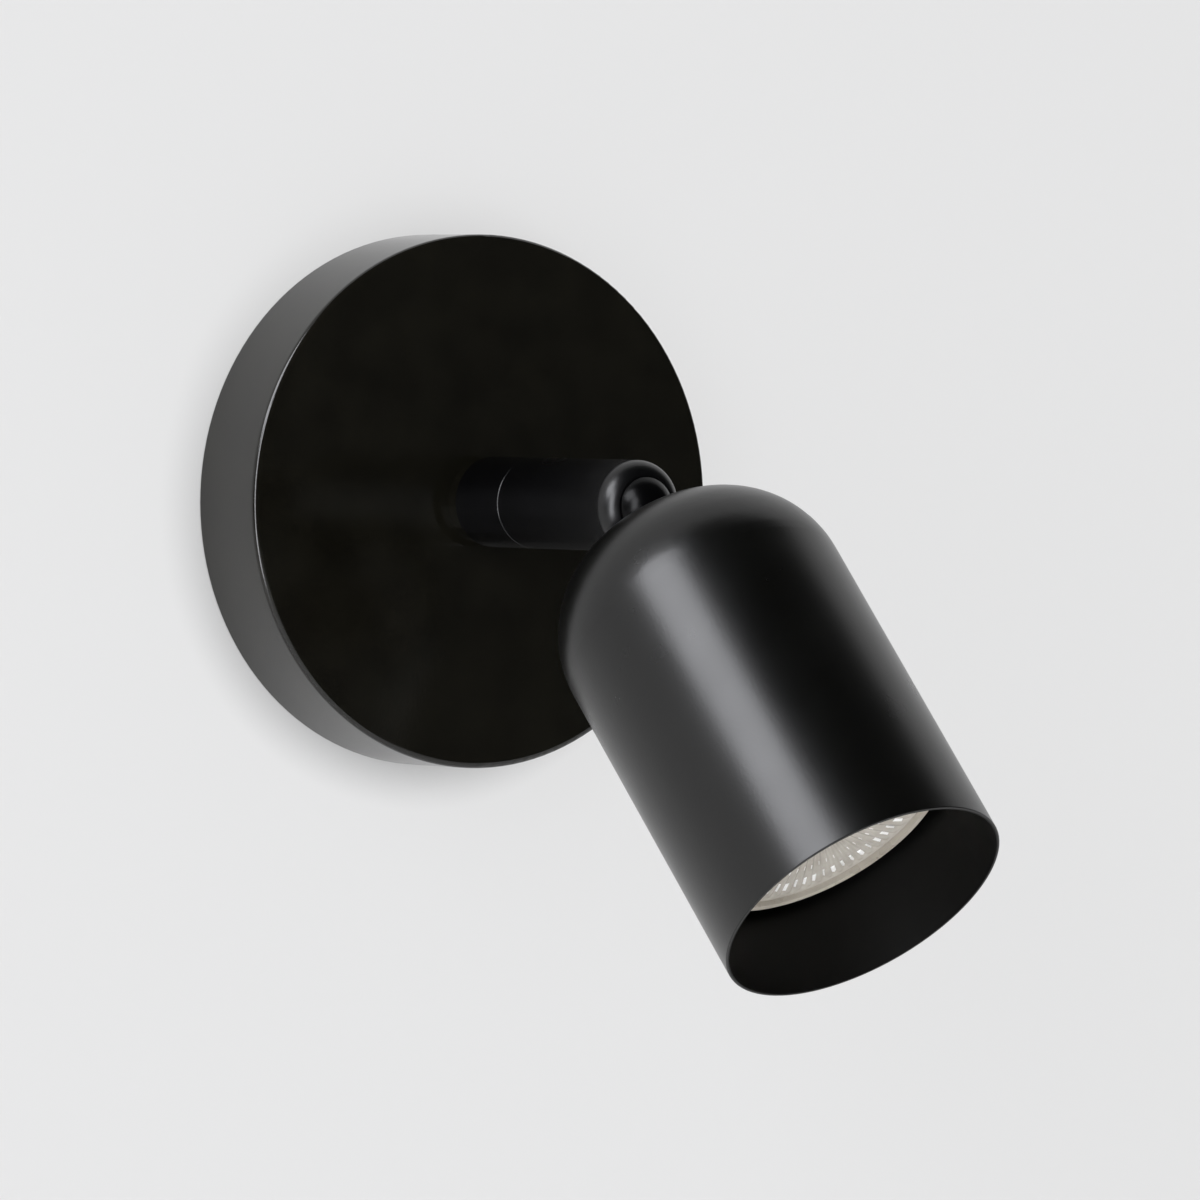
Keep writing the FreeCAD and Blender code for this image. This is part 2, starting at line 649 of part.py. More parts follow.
def mounting_plate():
    body = doc.addObject("PartDesign::Body", "mounting_plate")
    disc = sketch_on(body, "XZ_Plane", "mount_disc")
    draw_circle(disc, NOTHING, NOTHING, d.mount_radius)
    pad(body, disc, d.mount_sheet)

    ear_corner = d.plate_radius - d.plate_wall - d.ear_gap
    ear_outer = across(ear_corner, d.ear_half_width)
    ear_inner = ear_outer - d.mount_sheet
    strip = sketch_on(body, "XZ_Plane", "mount_tabs")
    draw_outline(strip, rectangle(-d.ear_half_width, d.ear_half_width, -ear_outer, ear_outer))
    pad(body, strip, d.mount_sheet)
    ears = sketch_on(body, "XZ_Plane", "mount_ears")
    draw_outline(
        ears, rectangle(-d.ear_half_width, d.ear_half_width, ear_inner, ear_outer), "top"
    )
    draw_outline(
        ears, rectangle(-d.ear_half_width, d.ear_half_width, -ear_outer, -ear_inner), "low"
    )
    pad(body, ears, d.ear_depth)

    threads = sketch_on(body, "XY_Plane", "ear_threads")
    draw_circle(threads, NOTHING, -d.rim_screw_station, d.rim_screw_radius + d.thread_fit)
    pocket(body, threads, d.plate_radius * 2, midplane=True)

    holes = sketch_on(body, "XZ_Plane", "mount_holes")
    draw_circle(holes, NOTHING, NOTHING, d.cable_hole_radius, "cable")
    draw_circle(
        holes, -d.earth_side, -d.pole_pitch, d.earth_screw_radius + d.thread_fit, "earth"
    )
    for number, place in enumerate(fixing_places()):
        draw_circle(
            holes, BLOCK_MIDDLE, place, d.block_screw_radius + d.thread_fit, f"block{number}"
        )
    half_width = d.slot_width / 2
    half_straight = d.slot_span / 2 - half_width
    for number, middle in enumerate((-d.slot_pitch / 2, d.slot_pitch / 2)):
        low, high = middle - half_straight, middle + half_straight
        draw_outline(holes, [
            (-half_width, low),
            (NOTHING, low - half_width, half_width, 1),
            (half_width, low, half_width, 1),
            (half_width, high),
            (NOTHING, high + half_width, half_width, 1),
            (-half_width, high, half_width, 1),
        ], f"slot{number}")
    pocket(body, holes, d.mount_sheet * 3, midplane=True)
    return body


def rim_screws():
    screws = []
    for name, sign in (("top", 1), ("low", -1)):
        inward = UP * -sign
        outer = (d.plate_radius - d.rim_screw_sunk) * sign
        start = -d.rim_screw_station
        shank = rod(
            f"rim_screw_{name}", d.rim_screw_radius, d.rim_screw_size,
            NOTHING, start, outer, inward,
        )
        socket = hexagon(
            f"rim_socket_{name}", d.rim_screw_radius * d.socket_share, d.rim_screw_radius,
            NOTHING, start, outer, inward,
        )
        screws.append(cut(f"rim_grub_{name}", shank, [socket]))
    return group("canopy_screws", screws)


def pole_places():
    """Height of each pole of the terminal block: earth, neutral and live."""
    return (-d.pole_pitch, NOTHING, d.pole_pitch)


def clamp_screw_places():
    """Distance of the clamp screws from the arm line."""
    near = d.block_near + d.clamp_screw_inset
    far = d.block_near + d.block_width - d.clamp_screw_inset
    return (near, far)


def fixing_places():
    """Height of the terminal block's two fixing screws, between its poles."""
    return (-d.pole_pitch / 2, d.pole_pitch / 2)


def terminal_block():
    far = d.block_near + d.block_width
    top = MOUNT_FACE + d.block_height
    body = block(
        "block_body",
        (d.block_near, far),
        (-top, -MOUNT_FACE),
        (-d.block_length / 2, d.block_length / 2),
    )
    tools = []
    for number, height in enumerate(pole_places()):
        tools.append(rod(
            f"block_bore_{number}", d.clamp_radius + d.thread_fit, d.block_width + 2 * BEYOND,
            d.block_near - BEYOND, -POLE_STATION, height, SIDE,
        ))
        for side, place in enumerate(clamp_screw_places()):
            tools.append(rod(
                f"block_well_{number}_{side}", d.clamp_screw_radius + d.clamp_well_gap,
                top - POLE_STATION + BEYOND, place, -POLE_STATION, height, OUT,
            ))
    for number, height in enumerate(fixing_places()):
        tools.append(rod(
            f"block_fixing_{number}", d.block_screw_radius + d.hole_fit,
            d.block_height + 2 * BEYOND, BLOCK_MIDDLE, BEYOND - MOUNT_FACE, height, OUT,
        ))
        tools.append(rod(
            f"block_head_well_{number}", d.block_screw_head + d.hole_fit,
            d.block_screw_sink + BEYOND, BLOCK_MIDDLE, d.block_screw_sink - top, height, OUT,
        ))
    return cut("terminal_block", body, tools)


def block_screws():
    screws = []
    seat = MOUNT_FACE + d.block_height - d.block_screw_sink
    for number, height in enumerate(fixing_places()):
        shank = rod(
            f"block_screw_shank_{number}", d.block_screw_radius, seat - d.thread_fit,
            BLOCK_MIDDLE, -seat, height, -OUT,
        )
        head = rod(
            f"block_screw_head_{number}", d.block_screw_head, d.block_screw_radius,
            BLOCK_MIDDLE, -seat, height, OUT,
        )
        socket = hexagon(
            f"block_screw_socket_{number}", d.block_screw_radius * d.socket_share,
            d.block_screw_radius, BLOCK_MIDDLE, -(seat + d.block_screw_radius / 2),
            height, OUT,
        )
        screw = fused(f"block_screw_body_{number}", [shank, head])
        screws.append(cut(f"block_screw_{number}", screw, [socket]))
    return group("block_screws", screws)


def terminal_clamps():
    clamps = []
    near = d.block_near + d.clamp_inset
    length = d.block_width - d.clamp_inset * 2
    for number, height in enumerate(pole_places()):
        body = rod(
            f"clamp_body_{number}", d.clamp_radius, length, near, -POLE_STATION, height, SIDE
        )
        tools = [rod(
            f"clamp_bore_{number}", d.clamp_bore, length + 2 * BEYOND, near - BEYOND, -POLE_STATION,
            height, SIDE,
        )]
        for side, place in enumerate(clamp_screw_places()):
            tools.append(rod(
                f"clamp_thread_{number}_{side}", d.clamp_screw_radius + d.thread_fit,
                d.clamp_radius + BEYOND, place, -POLE_STATION, height, OUT,
            ))
        clamps.append(cut(f"clamp_{number}", body, tools))
    return group("terminal_clamps", clamps)


def terminal_screws():
    screws = []
    tip = POLE_STATION + d.lead_radius + d.hole_fit
    length = MOUNT_FACE + d.block_height - tip - d.clamp_screw_sunk
    slot_half = d.clamp_screw_radius * d.slot_share
    for number, height in enumerate(pole_places()):
        for side, place in enumerate(clamp_screw_places()):
            shank = rod(
                f"clamp_screw_body_{number}_{side}", d.clamp_screw_radius, length,
                place, -tip, height, OUT,
            )
            end = -(tip + length)
            slot = block(
                f"clamp_screw_slot_{number}_{side}",
                (place - d.clamp_screw_radius * 2, place + d.clamp_screw_radius * 2),
                (end - BEYOND, end + slot_half * 3),
                (height - slot_half, height + slot_half),
            )
            screws.append(cut(f"clamp_screw_{number}_{side}", shank, [slot]))
    return group("terminal_screws", screws)


def earth_lug():
    """Ring lug lying on the mounting plate, with a barrel that points at the terminal block."""
    height = -d.pole_pitch
    top = MOUNT_FACE + d.lug_sheet
    ring = rod("lug_ring", d.lug_radius, d.lug_sheet, -d.earth_side, -MOUNT_FACE, height, OUT)
    tongue = block(
        "lug_tongue",
        (-d.earth_side, LUG_BARREL_START + d.lug_floor),
        (-top, -MOUNT_FACE),
        (height - d.lug_barrel_radius, height + d.lug_barrel_radius),
    )
    barrel = rod(
        "lug_barrel", d.lug_barrel_radius, d.lug_barrel_size, LUG_BARREL_START,
        -LUG_BARREL_STATION, height, SIDE,
    )
    bore = rod(
        "lug_bore", d.lead_radius + d.thread_fit, d.lug_barrel_size,
        LUG_BARREL_START + d.lug_floor, -LUG_BARREL_STATION, height, SIDE,
    )
    hole = rod(
        "lug_hole", d.earth_screw_radius + d.hole_fit, d.lug_sheet + 2 * BEYOND, -d.earth_side,
        -(MOUNT_FACE - BEYOND), height, OUT,
    )
    body = fused("lug_body", [ring, tongue, barrel])
    return cut("earth_lug", body, [bore, hole])


def earth_washer():
    seat = MOUNT_FACE + d.lug_sheet
    height = -d.pole_pitch
    ring = rod(
        "earth_washer_ring", d.earth_head_radius, d.earth_washer_sheet, -d.earth_side, -seat,
        height, OUT,
    )
    hole = rod(
        "earth_washer_hole", d.earth_screw_radius + d.hole_fit, d.earth_washer_sheet + 2 * BEYOND,
        -d.earth_side, -(seat - BEYOND), height, OUT,
    )
    return cut("earth_washer", ring, [hole])


def earth_screw():
    seat = MOUNT_FACE + d.lug_sheet + d.earth_washer_sheet
    height = -d.pole_pitch
    slot_half = d.earth_screw_radius * d.slot_share
    shank = rod(
        "earth_shank", d.earth_screw_radius, seat - d.thread_fit, -d.earth_side, -seat, height,
        -OUT,
    )
    head = rod(
        "earth_head", d.earth_head_radius - d.hole_fit, d.earth_head_height, -d.earth_side,
        -seat, height, OUT,
    )
    slot = block(
        "earth_slot",
        (-(d.earth_side + d.earth_head_radius), -(d.earth_side - d.earth_head_radius)),
        (-(seat + d.earth_head_height + BEYOND), -(seat + d.earth_head_height / 2)),
        (height - slot_half, height + slot_half),
    )
    body = fused("earth_body", [shank, head])
    return cut("earth_screw", body, [slot])


def earth_lead():
    """Earth lead from the lug up to the terminal block's earth pole."""
    rise = POLE_STATION.value - LUG_BARREL_STATION.value
    start = LUG_BARREL_START.value + d.lug_floor.value + d.thread_fit.value
    climb_from = (
        LUG_BARREL_START.value + d.lug_barrel_size.value + d.earth_lead_straight.value
    )
    climb_to = climb_from + rise * d.earth_lead_slope.value
    end = d.block_near.value + d.lead_grip.value
    height = -d.pole_pitch.value
    low = -LUG_BARREL_STATION.value
    high = -POLE_STATION.value
    return lead("earth_lead", [
        FreeCAD.Vector(start, low, height),
        FreeCAD.Vector(climb_from, low, height),
        FreeCAD.Vector(climb_to, high, height),
        FreeCAD.Vector(end, high, height),
    ], d.earth_lead_bend.value)


def base_leads():
    """Live and neutral leads from the terminal block, through the nipple, to the spindle."""
    leads = []
    far = d.block_near.value + d.lead_grip.value
    near = d.block_near.value - d.lead_straight.value
    low = -POLE_STATION.value
    end = -(SPINDLE_REAR.value - d.lead_swivel_gap.value)
    side = d.lead_side.value
    poles = (("neutral", 0, -side), ("live", d.pole_pitch.value, side))
    for name, height, place in poles:
        leads.append(lead(f"{name}_lead", [
            FreeCAD.Vector(far, low, height),
            FreeCAD.Vector(near, low, height),
            FreeCAD.Vector(0, low, place),
            FreeCAD.Vector(0, end, place),
        ], d.lead_bend.value))
    return group("base_leads", leads)


# ---------------------------------------------------------------- nipple and arm base

def hollow_nipple():
    return tube(
        "hollow_nipple", d.nipple_radius, d.nipple_bore, NIPPLE_REAR,
        COLLAR_FRONT + d.nipple_grip,
    )


def locknut():
    return nut(
        "locknut", d.locknut_radius, d.locknut_height, d.nipple_radius + d.thread_fit,
        LOCKNUT_REAR,
    )


def toothed_washer():
    ring = tube(
        "tooth_ring", d.tooth_washer_radius, d.nipple_radius + d.hole_fit, LOCKNUT_FRONT,
        PLATE_INNER,
    )
    gaps = []
    count = int(d.tooth_count.value)
    for number in range(count):
        angle = math.radians(360 * number / count)
        gap = rod(
            f"tooth_gap_{number}", d.tooth_gap_radius, d.tooth_washer_sheet + 2 * BEYOND,
            d.tooth_washer_radius * math.cos(angle), -(LOCKNUT_FRONT - BEYOND),
            d.tooth_washer_radius * math.sin(angle), OUT,
        )
        gaps.append(gap)
    return cut("toothed_washer", ring, gaps)


def lead_bush():
    flange_rear = NIPPLE_REAR - d.bush_sheet
    sleeve = d.nipple_bore - d.thread_fit
    return turned("lead_bush", [
        (d.bush_bore, flange_rear),
        (d.bush_flange, flange_rear),
        (d.bush_flange, NIPPLE_REAR),
        (sleeve, NIPPLE_REAR),
        (sleeve, NIPPLE_REAR + d.bush_size),
        (d.bush_bore, NIPPLE_REAR + d.bush_size),
    ])


def base_collar():
    return tube(
        "base_collar", d.collar_radius, d.nipple_radius + d.hole_fit, PLATE_FRONT, COLLAR_FRONT
    )


def arm_base():
    bearing = SPINDLE_RADIUS + d.thread_fit
    body = turned("arm_base", [
        (d.base_bore, COLLAR_FRONT),
        (d.arm_radius, COLLAR_FRONT),
        (d.arm_radius, BASE_FRONT - d.seam_chamfer),
        (d.arm_radius - d.seam_chamfer, BASE_FRONT),
        (bearing, BASE_FRONT),
        (bearing, BEARING_REAR),
        (d.base_bore, BEARING_REAR),
    ])
    sketch = sketch_on(body, "XZ_Plane", "stop_pin_hole")
    sketch.setExpression(".AttachmentOffset.Base.z", BASE_FRONT.text)
    draw_circle(
        sketch,
        STOP_PIN_CIRCLE * sine(-d.rest_swivel),
        STOP_PIN_CIRCLE * cosine(d.rest_swivel),
        d.stop_pin_radius + d.thread_fit / 2,
    )
    pocket(body, sketch, d.stop_pin_root)
    return body


def base_insert():
    return tube(
        "base_insert", d.base_bore - d.thread_fit, d.nipple_radius + d.thread_fit,
        COLLAR_FRONT, COLLAR_FRONT + d.insert_size,
    )


def swivel_stop_pin():
    return rod(
        "swivel_stop_pin", d.stop_pin_radius, d.stop_pin_root + d.stop_pin_tip,
        STOP_PIN_CIRCLE * sine(-d.rest_swivel), -(BASE_FRONT - d.stop_pin_root),
        STOP_PIN_CIRCLE * cosine(d.rest_swivel), OUT,
    )


# ---------------------------------------------------------------- arm

def swivel_spindle():
    return on_arm(turned("swivel_spindle", [
        (d.spindle_bore, SPINDLE_REAR),
        (d.spindle_head, SPINDLE_REAR),
        (d.spindle_head, SPINDLE_SHOULDER),
        (SPINDLE_RADIUS, SPINDLE_SHOULDER),
        (SPINDLE_RADIUS, ARM_REAR + d.plug_grip),
        (d.spindle_bore, ARM_REAR + d.plug_grip),
    ]))


def disc_spring():
    inner = SPINDLE_RADIUS + d.hole_fit
    outer = d.spindle_head - d.hole_fit
    top = SPINDLE_SHOULDER + d.disc_spring_rise
    return on_arm(turned("disc_spring", [
        (outer, SPINDLE_SHOULDER),
        (outer, SPINDLE_SHOULDER + d.disc_spring_sheet),
        (inner, top),
        (inner, top - d.disc_spring_sheet),
    ]))


def arm_tube():
    body = turned("arm_tube", [
        (ARM_BORE, ARM_REAR),
        (d.arm_radius - d.seam_chamfer, ARM_REAR),
        (d.arm_radius, ARM_REAR + d.seam_chamfer),
        (d.arm_radius, NOSE_START),
        (NOSE_FACE_RADIUS, NOSE_FACE, d.nose_radius, -1),
        (NOSE_OPENING, NOSE_FACE),
        (SOCKET_RADIUS, BALL_STATION, SOCKET_RADIUS, 1),
        (ARM_BORE, BALL_STATION),
    ])

    groove_half = d.stop_pin_radius + d.hole_fit
    profile = sketch_on(body, "YZ_Plane", "stop_groove_profile")
    draw_outline(profile, rectangle(
        -(ARM_REAR + d.stop_groove_depth), BEYOND - ARM_REAR,
        STOP_PIN_CIRCLE - groove_half, STOP_PIN_CIRCLE + groove_half,
    ))
    before = body.Shape.Volume
    groove = body.newObject("PartDesign::Groove", "stop_groove")
    groove.Profile = profile
    groove.ReferenceAxis = (profile, ["H_Axis"])
    groove.Midplane = True
    groove.setExpression("Angle", f"360 - {d.stop_web_angle.text}")
    doc.recompute()
    if body.Shape.Volume > before - 1:
        raise RuntimeError("the stop groove cuts nothing")

    tracks = sketch_on(body, "XY_Plane", "trunnion_tracks")
    track_end = BALL_RADIUS + d.trunnion_reach + d.trunnion_end_gap
    track_half = d.trunnion_radius + d.trunnion_fit
    front = BALL_STATION + track_half
    draw_outline(tracks, rectangle(-track_end, track_end, -front, BEYOND - ARM_REAR))
    pocket(body, tracks, track_half * 2, midplane=True)

    cut_nose(body)
    return on_arm(body)


def cut_nose(body):
    """Cut the nose so that the stem and the shade's rounded end reach the steepest tilt."""
    half_notch = d.stem_radius + d.notch_gap
    along_y, along_z = -cosine(d.lowest_tilt), -sine(d.lowest_tilt)
    start_y = half_notch * sine(d.lowest_tilt) - BALL_STATION
    start_z = -(half_notch * cosine(d.lowest_tilt))
    run = d.arm_radius * 1.5
    ahead = -(NOSE_FACE + d.arm_radius)
    notch = sketch_on(body, "YZ_Plane", "nose_notch")
    draw_outline(notch, [
        (start_y, start_z),
        (start_y + along_y * run, start_z + along_z * run),
        (ahead, start_z + along_z * run),
        (ahead, start_z),
    ])
    pocket(body, notch, half_notch * 2, midplane=True)

    reach = SHADE_APEX - d.stem_flange_sheet - d.nose_gap
    face_y = along_y * reach - BALL_STATION
    face_z = along_z * reach
    relief = sketch_on(body, "YZ_Plane", "nose_relief")
    draw_outline(relief, [
        (face_y - along_z * run, face_z + along_y * run),
        (face_y - along_z * run + along_y * run, face_z + along_y * run + along_z * run),
        (face_y + along_z * run + along_y * run, face_z - along_y * run + along_z * run),
        (face_y + along_z * run, face_z - along_y * run),
    ])
    pocket(body, relief, d.arm_radius * 3, midplane=True)


def arm_plug():
    return on_arm(tube(
        "arm_plug", ARM_BORE - d.thread_fit, SPINDLE_RADIUS + d.thread_fit, ARM_REAR,
        PLUG_FRONT,
    ))


def ball_spring():
    body = doc.addObject("PartDesign::Body", "ball_spring")
    section = sketch_on(body, "XY_Plane", "spring_section")
    draw_circle(section, SPRING_RADIUS, -(PLUG_FRONT + d.spring_wire / 2), d.spring_wire / 2)
    coil = body.newObject("PartDesign::AdditiveHelix", "spring_coil")
    coil.Profile = section
    coil.ReferenceAxis = (section, ["V_Axis"])
    coil.Mode = "height-turns-angle"
    coil.Reversed = True
    coil.setExpression("Turns", d.spring_turns.text)
    coil.setExpression("Height", (SEAT_REAR - PLUG_FRONT - d.spring_wire).text)
    doc.recompute()
    return on_arm(body)


def ball_seat():
    outer = ARM_BORE - d.hole_fit
    dish = BALL_RADIUS + d.ball_fit
    deep = BALL_STATION - across(dish, d.seat_bore)
    return on_arm(turned("ball_seat", [
        (d.seat_bore, SEAT_REAR),
        (outer, SEAT_REAR),
        (outer, SEAT_FRONT),
        (SEAT_RIM, SEAT_FRONT),
        (d.seat_bore, deep, dish, 1),
    ]))


def arm_sleeve():
    return on_arm(tube(
        "arm_sleeve", d.sleeve_radius, d.sleeve_bore, SPINDLE_REAR + d.sleeve_gap,
        BALL_STATION - BALL_RADIUS - d.sleeve_gap,
    ))


def lead_pair(name, start, end):
    """Two straight leads side by side, between two distances along the line."""
    leads = []
    for side, place in (("left", -d.lead_side), ("right", d.lead_side)):
        leads.append(rod(
            f"{name}_{side}", d.lead_radius, end - start, place, -start, NOTHING, OUT
        ))
    return group(name, leads)


def arm_leads():
    return on_arm(lead_pair(
        "arm_leads", SPINDLE_REAR, BALL_STATION - d.lead_end_gap
    ))


# ---------------------------------------------------------------- head

def pivot_ball():
    stem_start = across(BALL_RADIUS, d.stem_radius)
    flange_rear = SHADE_APEX - d.stem_flange_sheet
    body = turned("pivot_ball", [
        (NOTHING, -BALL_RADIUS),
        (d.stem_radius, stem_start, BALL_RADIUS, -1),
        (d.stem_radius, flange_rear),
        (d.stem_flange, flange_rear),
        (d.stem_flange, SHADE_APEX),
        (d.stem_radius, SHADE_APEX),
        (d.stem_radius, STEM_END),
        (NOTHING, STEM_END),
    ])
    trunnions = sketch_on(body, "YZ_Plane", "trunnions")
    draw_circle(trunnions, NOTHING, NOTHING, d.trunnion_radius)
    pad(body, trunnions, (BALL_RADIUS + d.trunnion_reach) * 2, midplane=True)

    bore = sketch_on(body, "XZ_Plane", "stem_bore")
    draw_circle(bore, NOTHING, NOTHING, d.stem_bore)
    pocket(body, bore, STEM_END + BEYOND, reverse=True)

    fan = sketch_on(body, "YZ_Plane", "lead_slot")
    run = BALL_RADIUS * 2
    low_angle = d.lowest_tilt + d.lead_slot_spare
    high_angle = d.highest_tilt + d.lead_slot_spare
    low_y = d.lead_slot_room * -sine(low_angle)
    low_z = d.lead_slot_room * -cosine(low_angle)
    high_y = d.lead_slot_room * -sine(high_angle)
    high_z = d.lead_slot_room * cosine(high_angle)
    draw_outline(fan, [
        (low_y, low_z),
        (low_y + run * cosine(low_angle), low_z - run * sine(low_angle)),
        (run * 2, -run),
        (run * 2, run),
        (high_y + run * cosine(high_angle), high_z + run * sine(high_angle)),
        (high_y, high_z),
    ])
    pocket(body, fan, d.lead_slot_half * 2, midplane=True)
    return on_head(body)


def shade():
    inner = SHADE_RADIUS - d.shade_wall
    hole = d.stem_radius + d.hole_fit
    shoulder = SHADE_APEX + SHADE_CORNER
    return on_head(turned("shade", [
        (hole, SHADE_APEX),
        (d.shade_flat, SHADE_APEX),
        (SHADE_RADIUS, shoulder, SHADE_CORNER, -1),
        (SHADE_RADIUS, SHADE_MOUTH - d.shade_lip),
        (SHADE_RADIUS - d.shade_lip, SHADE_MOUTH, d.shade_lip, -1),
        (inner, SHADE_MOUTH),
        (inner, shoulder),
        (d.shade_flat, SHADE_INNER, SHADE_CORNER - d.shade_wall, 1),
        (hole, SHADE_INNER),
    ]))


def stem_washer():
    return on_head(tube(
        "stem_washer", d.washer_radius, d.stem_radius + d.hole_fit, SHADE_INNER, NUT_REAR
    ))


def stem_nut():
    return on_head(nut(
        "stem_nut", d.stem_nut_radius, d.stem_nut_height, d.stem_radius + d.thread_fit,
        NUT_REAR,
    ))


def holder_strap():
    body = block(
        "strap_body",
        (-d.strap_half_width, d.strap_half_width),
        (-STRAP_FRONT, -STRAP_REAR),
        (-d.strap_half_size, d.strap_half_size),
    )
    tools = [rod(
        "strap_thread", d.stem_radius + d.thread_fit, d.strap_sheet + 2 * BEYOND, NOTHING,
        -(STRAP_REAR - BEYOND), NOTHING, OUT,
    )]
    for name, place in (("top", d.holder_screw_circle), ("low", -d.holder_screw_circle)):
        tools.append(rod(
            f"strap_hole_{name}", d.holder_screw_radius + d.thread_fit, d.strap_sheet + 2 * BEYOND,
            NOTHING, -(STRAP_REAR - BEYOND), place, OUT,
        ))
    return on_head(cut("holder_strap", body, tools))


def arc_slot(circle, half_width, from_angle, to_angle):
    """Outline of a slot that follows a circle, with rounded ends."""
    def polar(radius, angle):
        return (radius * cosine(angle), radius * sine(angle))

    def tip(angle, way):
        x, y = polar(circle, angle)
        return (x - half_width * sine(angle) * way, y + half_width * cosine(angle) * way)

    outer, inner = circle + half_width, circle - half_width
    return [
        polar(outer, to_angle) + (outer, 1),
        tip(to_angle, 1) + (half_width, 1),
        polar(inner, to_angle) + (half_width, 1),
        polar(inner, from_angle) + (inner, -1),
        tip(from_angle, -1) + (half_width, 1),
        polar(outer, from_angle) + (half_width, 1),
    ]


def lamp_holder():
    body = doc.addObject("PartDesign::Body", "lamp_holder")
    disc = sketch_on(body, "XZ_Plane", "holder_disc")
    disc.setExpression(".AttachmentOffset.Base.z", STRAP_FRONT.text)
    draw_circle(disc, NOTHING, NOTHING, d.holder_radius)
    for name, place in (("top", d.holder_screw_circle), ("low", -d.holder_screw_circle)):
        draw_circle(disc, NOTHING, place, d.holder_screw_radius + d.hole_fit, name)
    pad(body, disc, d.holder_size)

    recess = sketch_on(body, "XZ_Plane", "stem_recess")
    recess.setExpression(".AttachmentOffset.Base.z", STRAP_FRONT.text)
    draw_circle(recess, NOTHING, NOTHING, d.stem_radius + d.stem_recess_gap)
    pocket(body, recess, d.stem_end_past_strap + d.stem_recess_gap, reverse=True)

    lead_hole = sketch_on(body, "XZ_Plane", "lead_hole")
    lead_hole.setExpression(".AttachmentOffset.Base.z", STRAP_FRONT.text)
    draw_circle(lead_hole, NOTHING, NOTHING, d.holder_lead_hole)
    pocket(body, lead_hole, CONTACT_FRONT + d.hole_fit - STRAP_FRONT, reverse=True)

    wells = sketch_on(body, "XZ_Plane", "screw_wells")
    wells.setExpression(".AttachmentOffset.Base.z", HOLDER_FRONT.text)
    for name, place in (("top", d.holder_screw_circle), ("low", -d.holder_screw_circle)):
        draw_circle(wells, NOTHING, place, d.holder_screw_head + d.hole_fit, name)
    pocket(body, wells, d.holder_screw_sink)

    slots = sketch_on(body, "XZ_Plane", "pin_slots")
    slots.setExpression(".AttachmentOffset.Base.z", HOLDER_FRONT.text)
    neck_half = d.pin_neck + d.pin_slot_gap
    for name, start in (("right", NOTHING), ("left", as_size(180))):
        corners = arc_slot(d.pin_circle, neck_half, start, start + d.twist_angle)
        draw_outline(slots, corners, name)
    pocket(body, slots, HOLDER_FRONT - CONTACT_REAR)

    entries = sketch_on(body, "XZ_Plane", "pin_entries")
    entries.setExpression(".AttachmentOffset.Base.z", HOLDER_FRONT.text)
    for name, sign in (("right", 1), ("left", -1)):
        draw_circle(
            entries,
            d.pin_circle * cosine(d.twist_angle) * sign,
            d.pin_circle * sine(d.twist_angle) * sign,
            d.pin_head + d.pin_slot_gap,
            name,
        )
    pocket(body, entries, HOLDER_FRONT - CONTACT_REAR)

    chambers = sketch_on(body, "XZ_Plane", "pin_chambers")
    chamber_front = PIN_TIP + d.pin_head_height + d.pin_slot_gap
    chambers.setExpression(".AttachmentOffset.Base.z", chamber_front.text)
    head_half = d.pin_head + d.pin_slot_gap
    for name, start in (("right", NOTHING), ("left", as_size(180))):
        corners = arc_slot(d.pin_circle, head_half, start, start + d.twist_angle)
        draw_outline(chambers, corners, name)
    pocket(body, chambers, chamber_front - CONTACT_REAR)
    return on_head(body)


def holder_screws():
    screws = []
    seat = HOLDER_FRONT - d.holder_screw_sink
    for name, place in (("top", d.holder_screw_circle), ("low", -d.holder_screw_circle)):
        shank = rod(
            f"holder_shank_{name}", d.holder_screw_radius, seat - STRAP_REAR, NOTHING, -seat,
            place, -OUT,
        )
        head = rod(
            f"holder_head_{name}", d.holder_screw_head, d.holder_screw_head_height, NOTHING,
            -seat, place, OUT,
        )
        socket = hexagon(
            f"holder_socket_{name}", d.holder_screw_radius * d.socket_share,
            d.holder_screw_head_height, NOTHING, -(seat + d.holder_screw_head_height / 2),
            place, OUT,
        )
        screw = fused(f"holder_screw_body_{name}", [shank, head])
        screws.append(cut(f"holder_screw_{name}", screw, [socket]))
    return on_head(group("holder_screws", screws))


def holder_contacts():
    strips = []
    depth = (-CONTACT_FRONT, -CONTACT_REAR)
    tail_end = d.lead_side + d.lead_radius + d.hole_fit
    sides = (
        ("right", (d.contact_inner, d.contact_outer), (tail_end, d.contact_inner)),
        ("left", (-d.contact_outer, -d.contact_inner), (-d.contact_inner, -tail_end)),
    )
    for name, face_span, tail_span in sides:
        face = block(
            f"contact_face_{name}", face_span, depth,
            (-d.contact_half_width, d.contact_half_width),
        )
        tail = block(
            f"contact_tail_{name}", tail_span, depth,
            (-d.contact_tail_half, d.contact_tail_half),
        )
        strips.append(fused(f"contact_{name}", [face, tail]))
    return on_head(group("holder_contacts", strips))


def head_sleeve():
    return on_head(tube(
        "head_sleeve", d.sleeve_radius, d.sleeve_bore, d.sleeve_start,
        CONTACT_REAR - d.sleeve_gap,
    ))


def head_leads():
    return on_head(lead_pair("head_leads", d.lead_end_gap, CONTACT_FRONT))


# ---------------------------------------------------------------- lamp

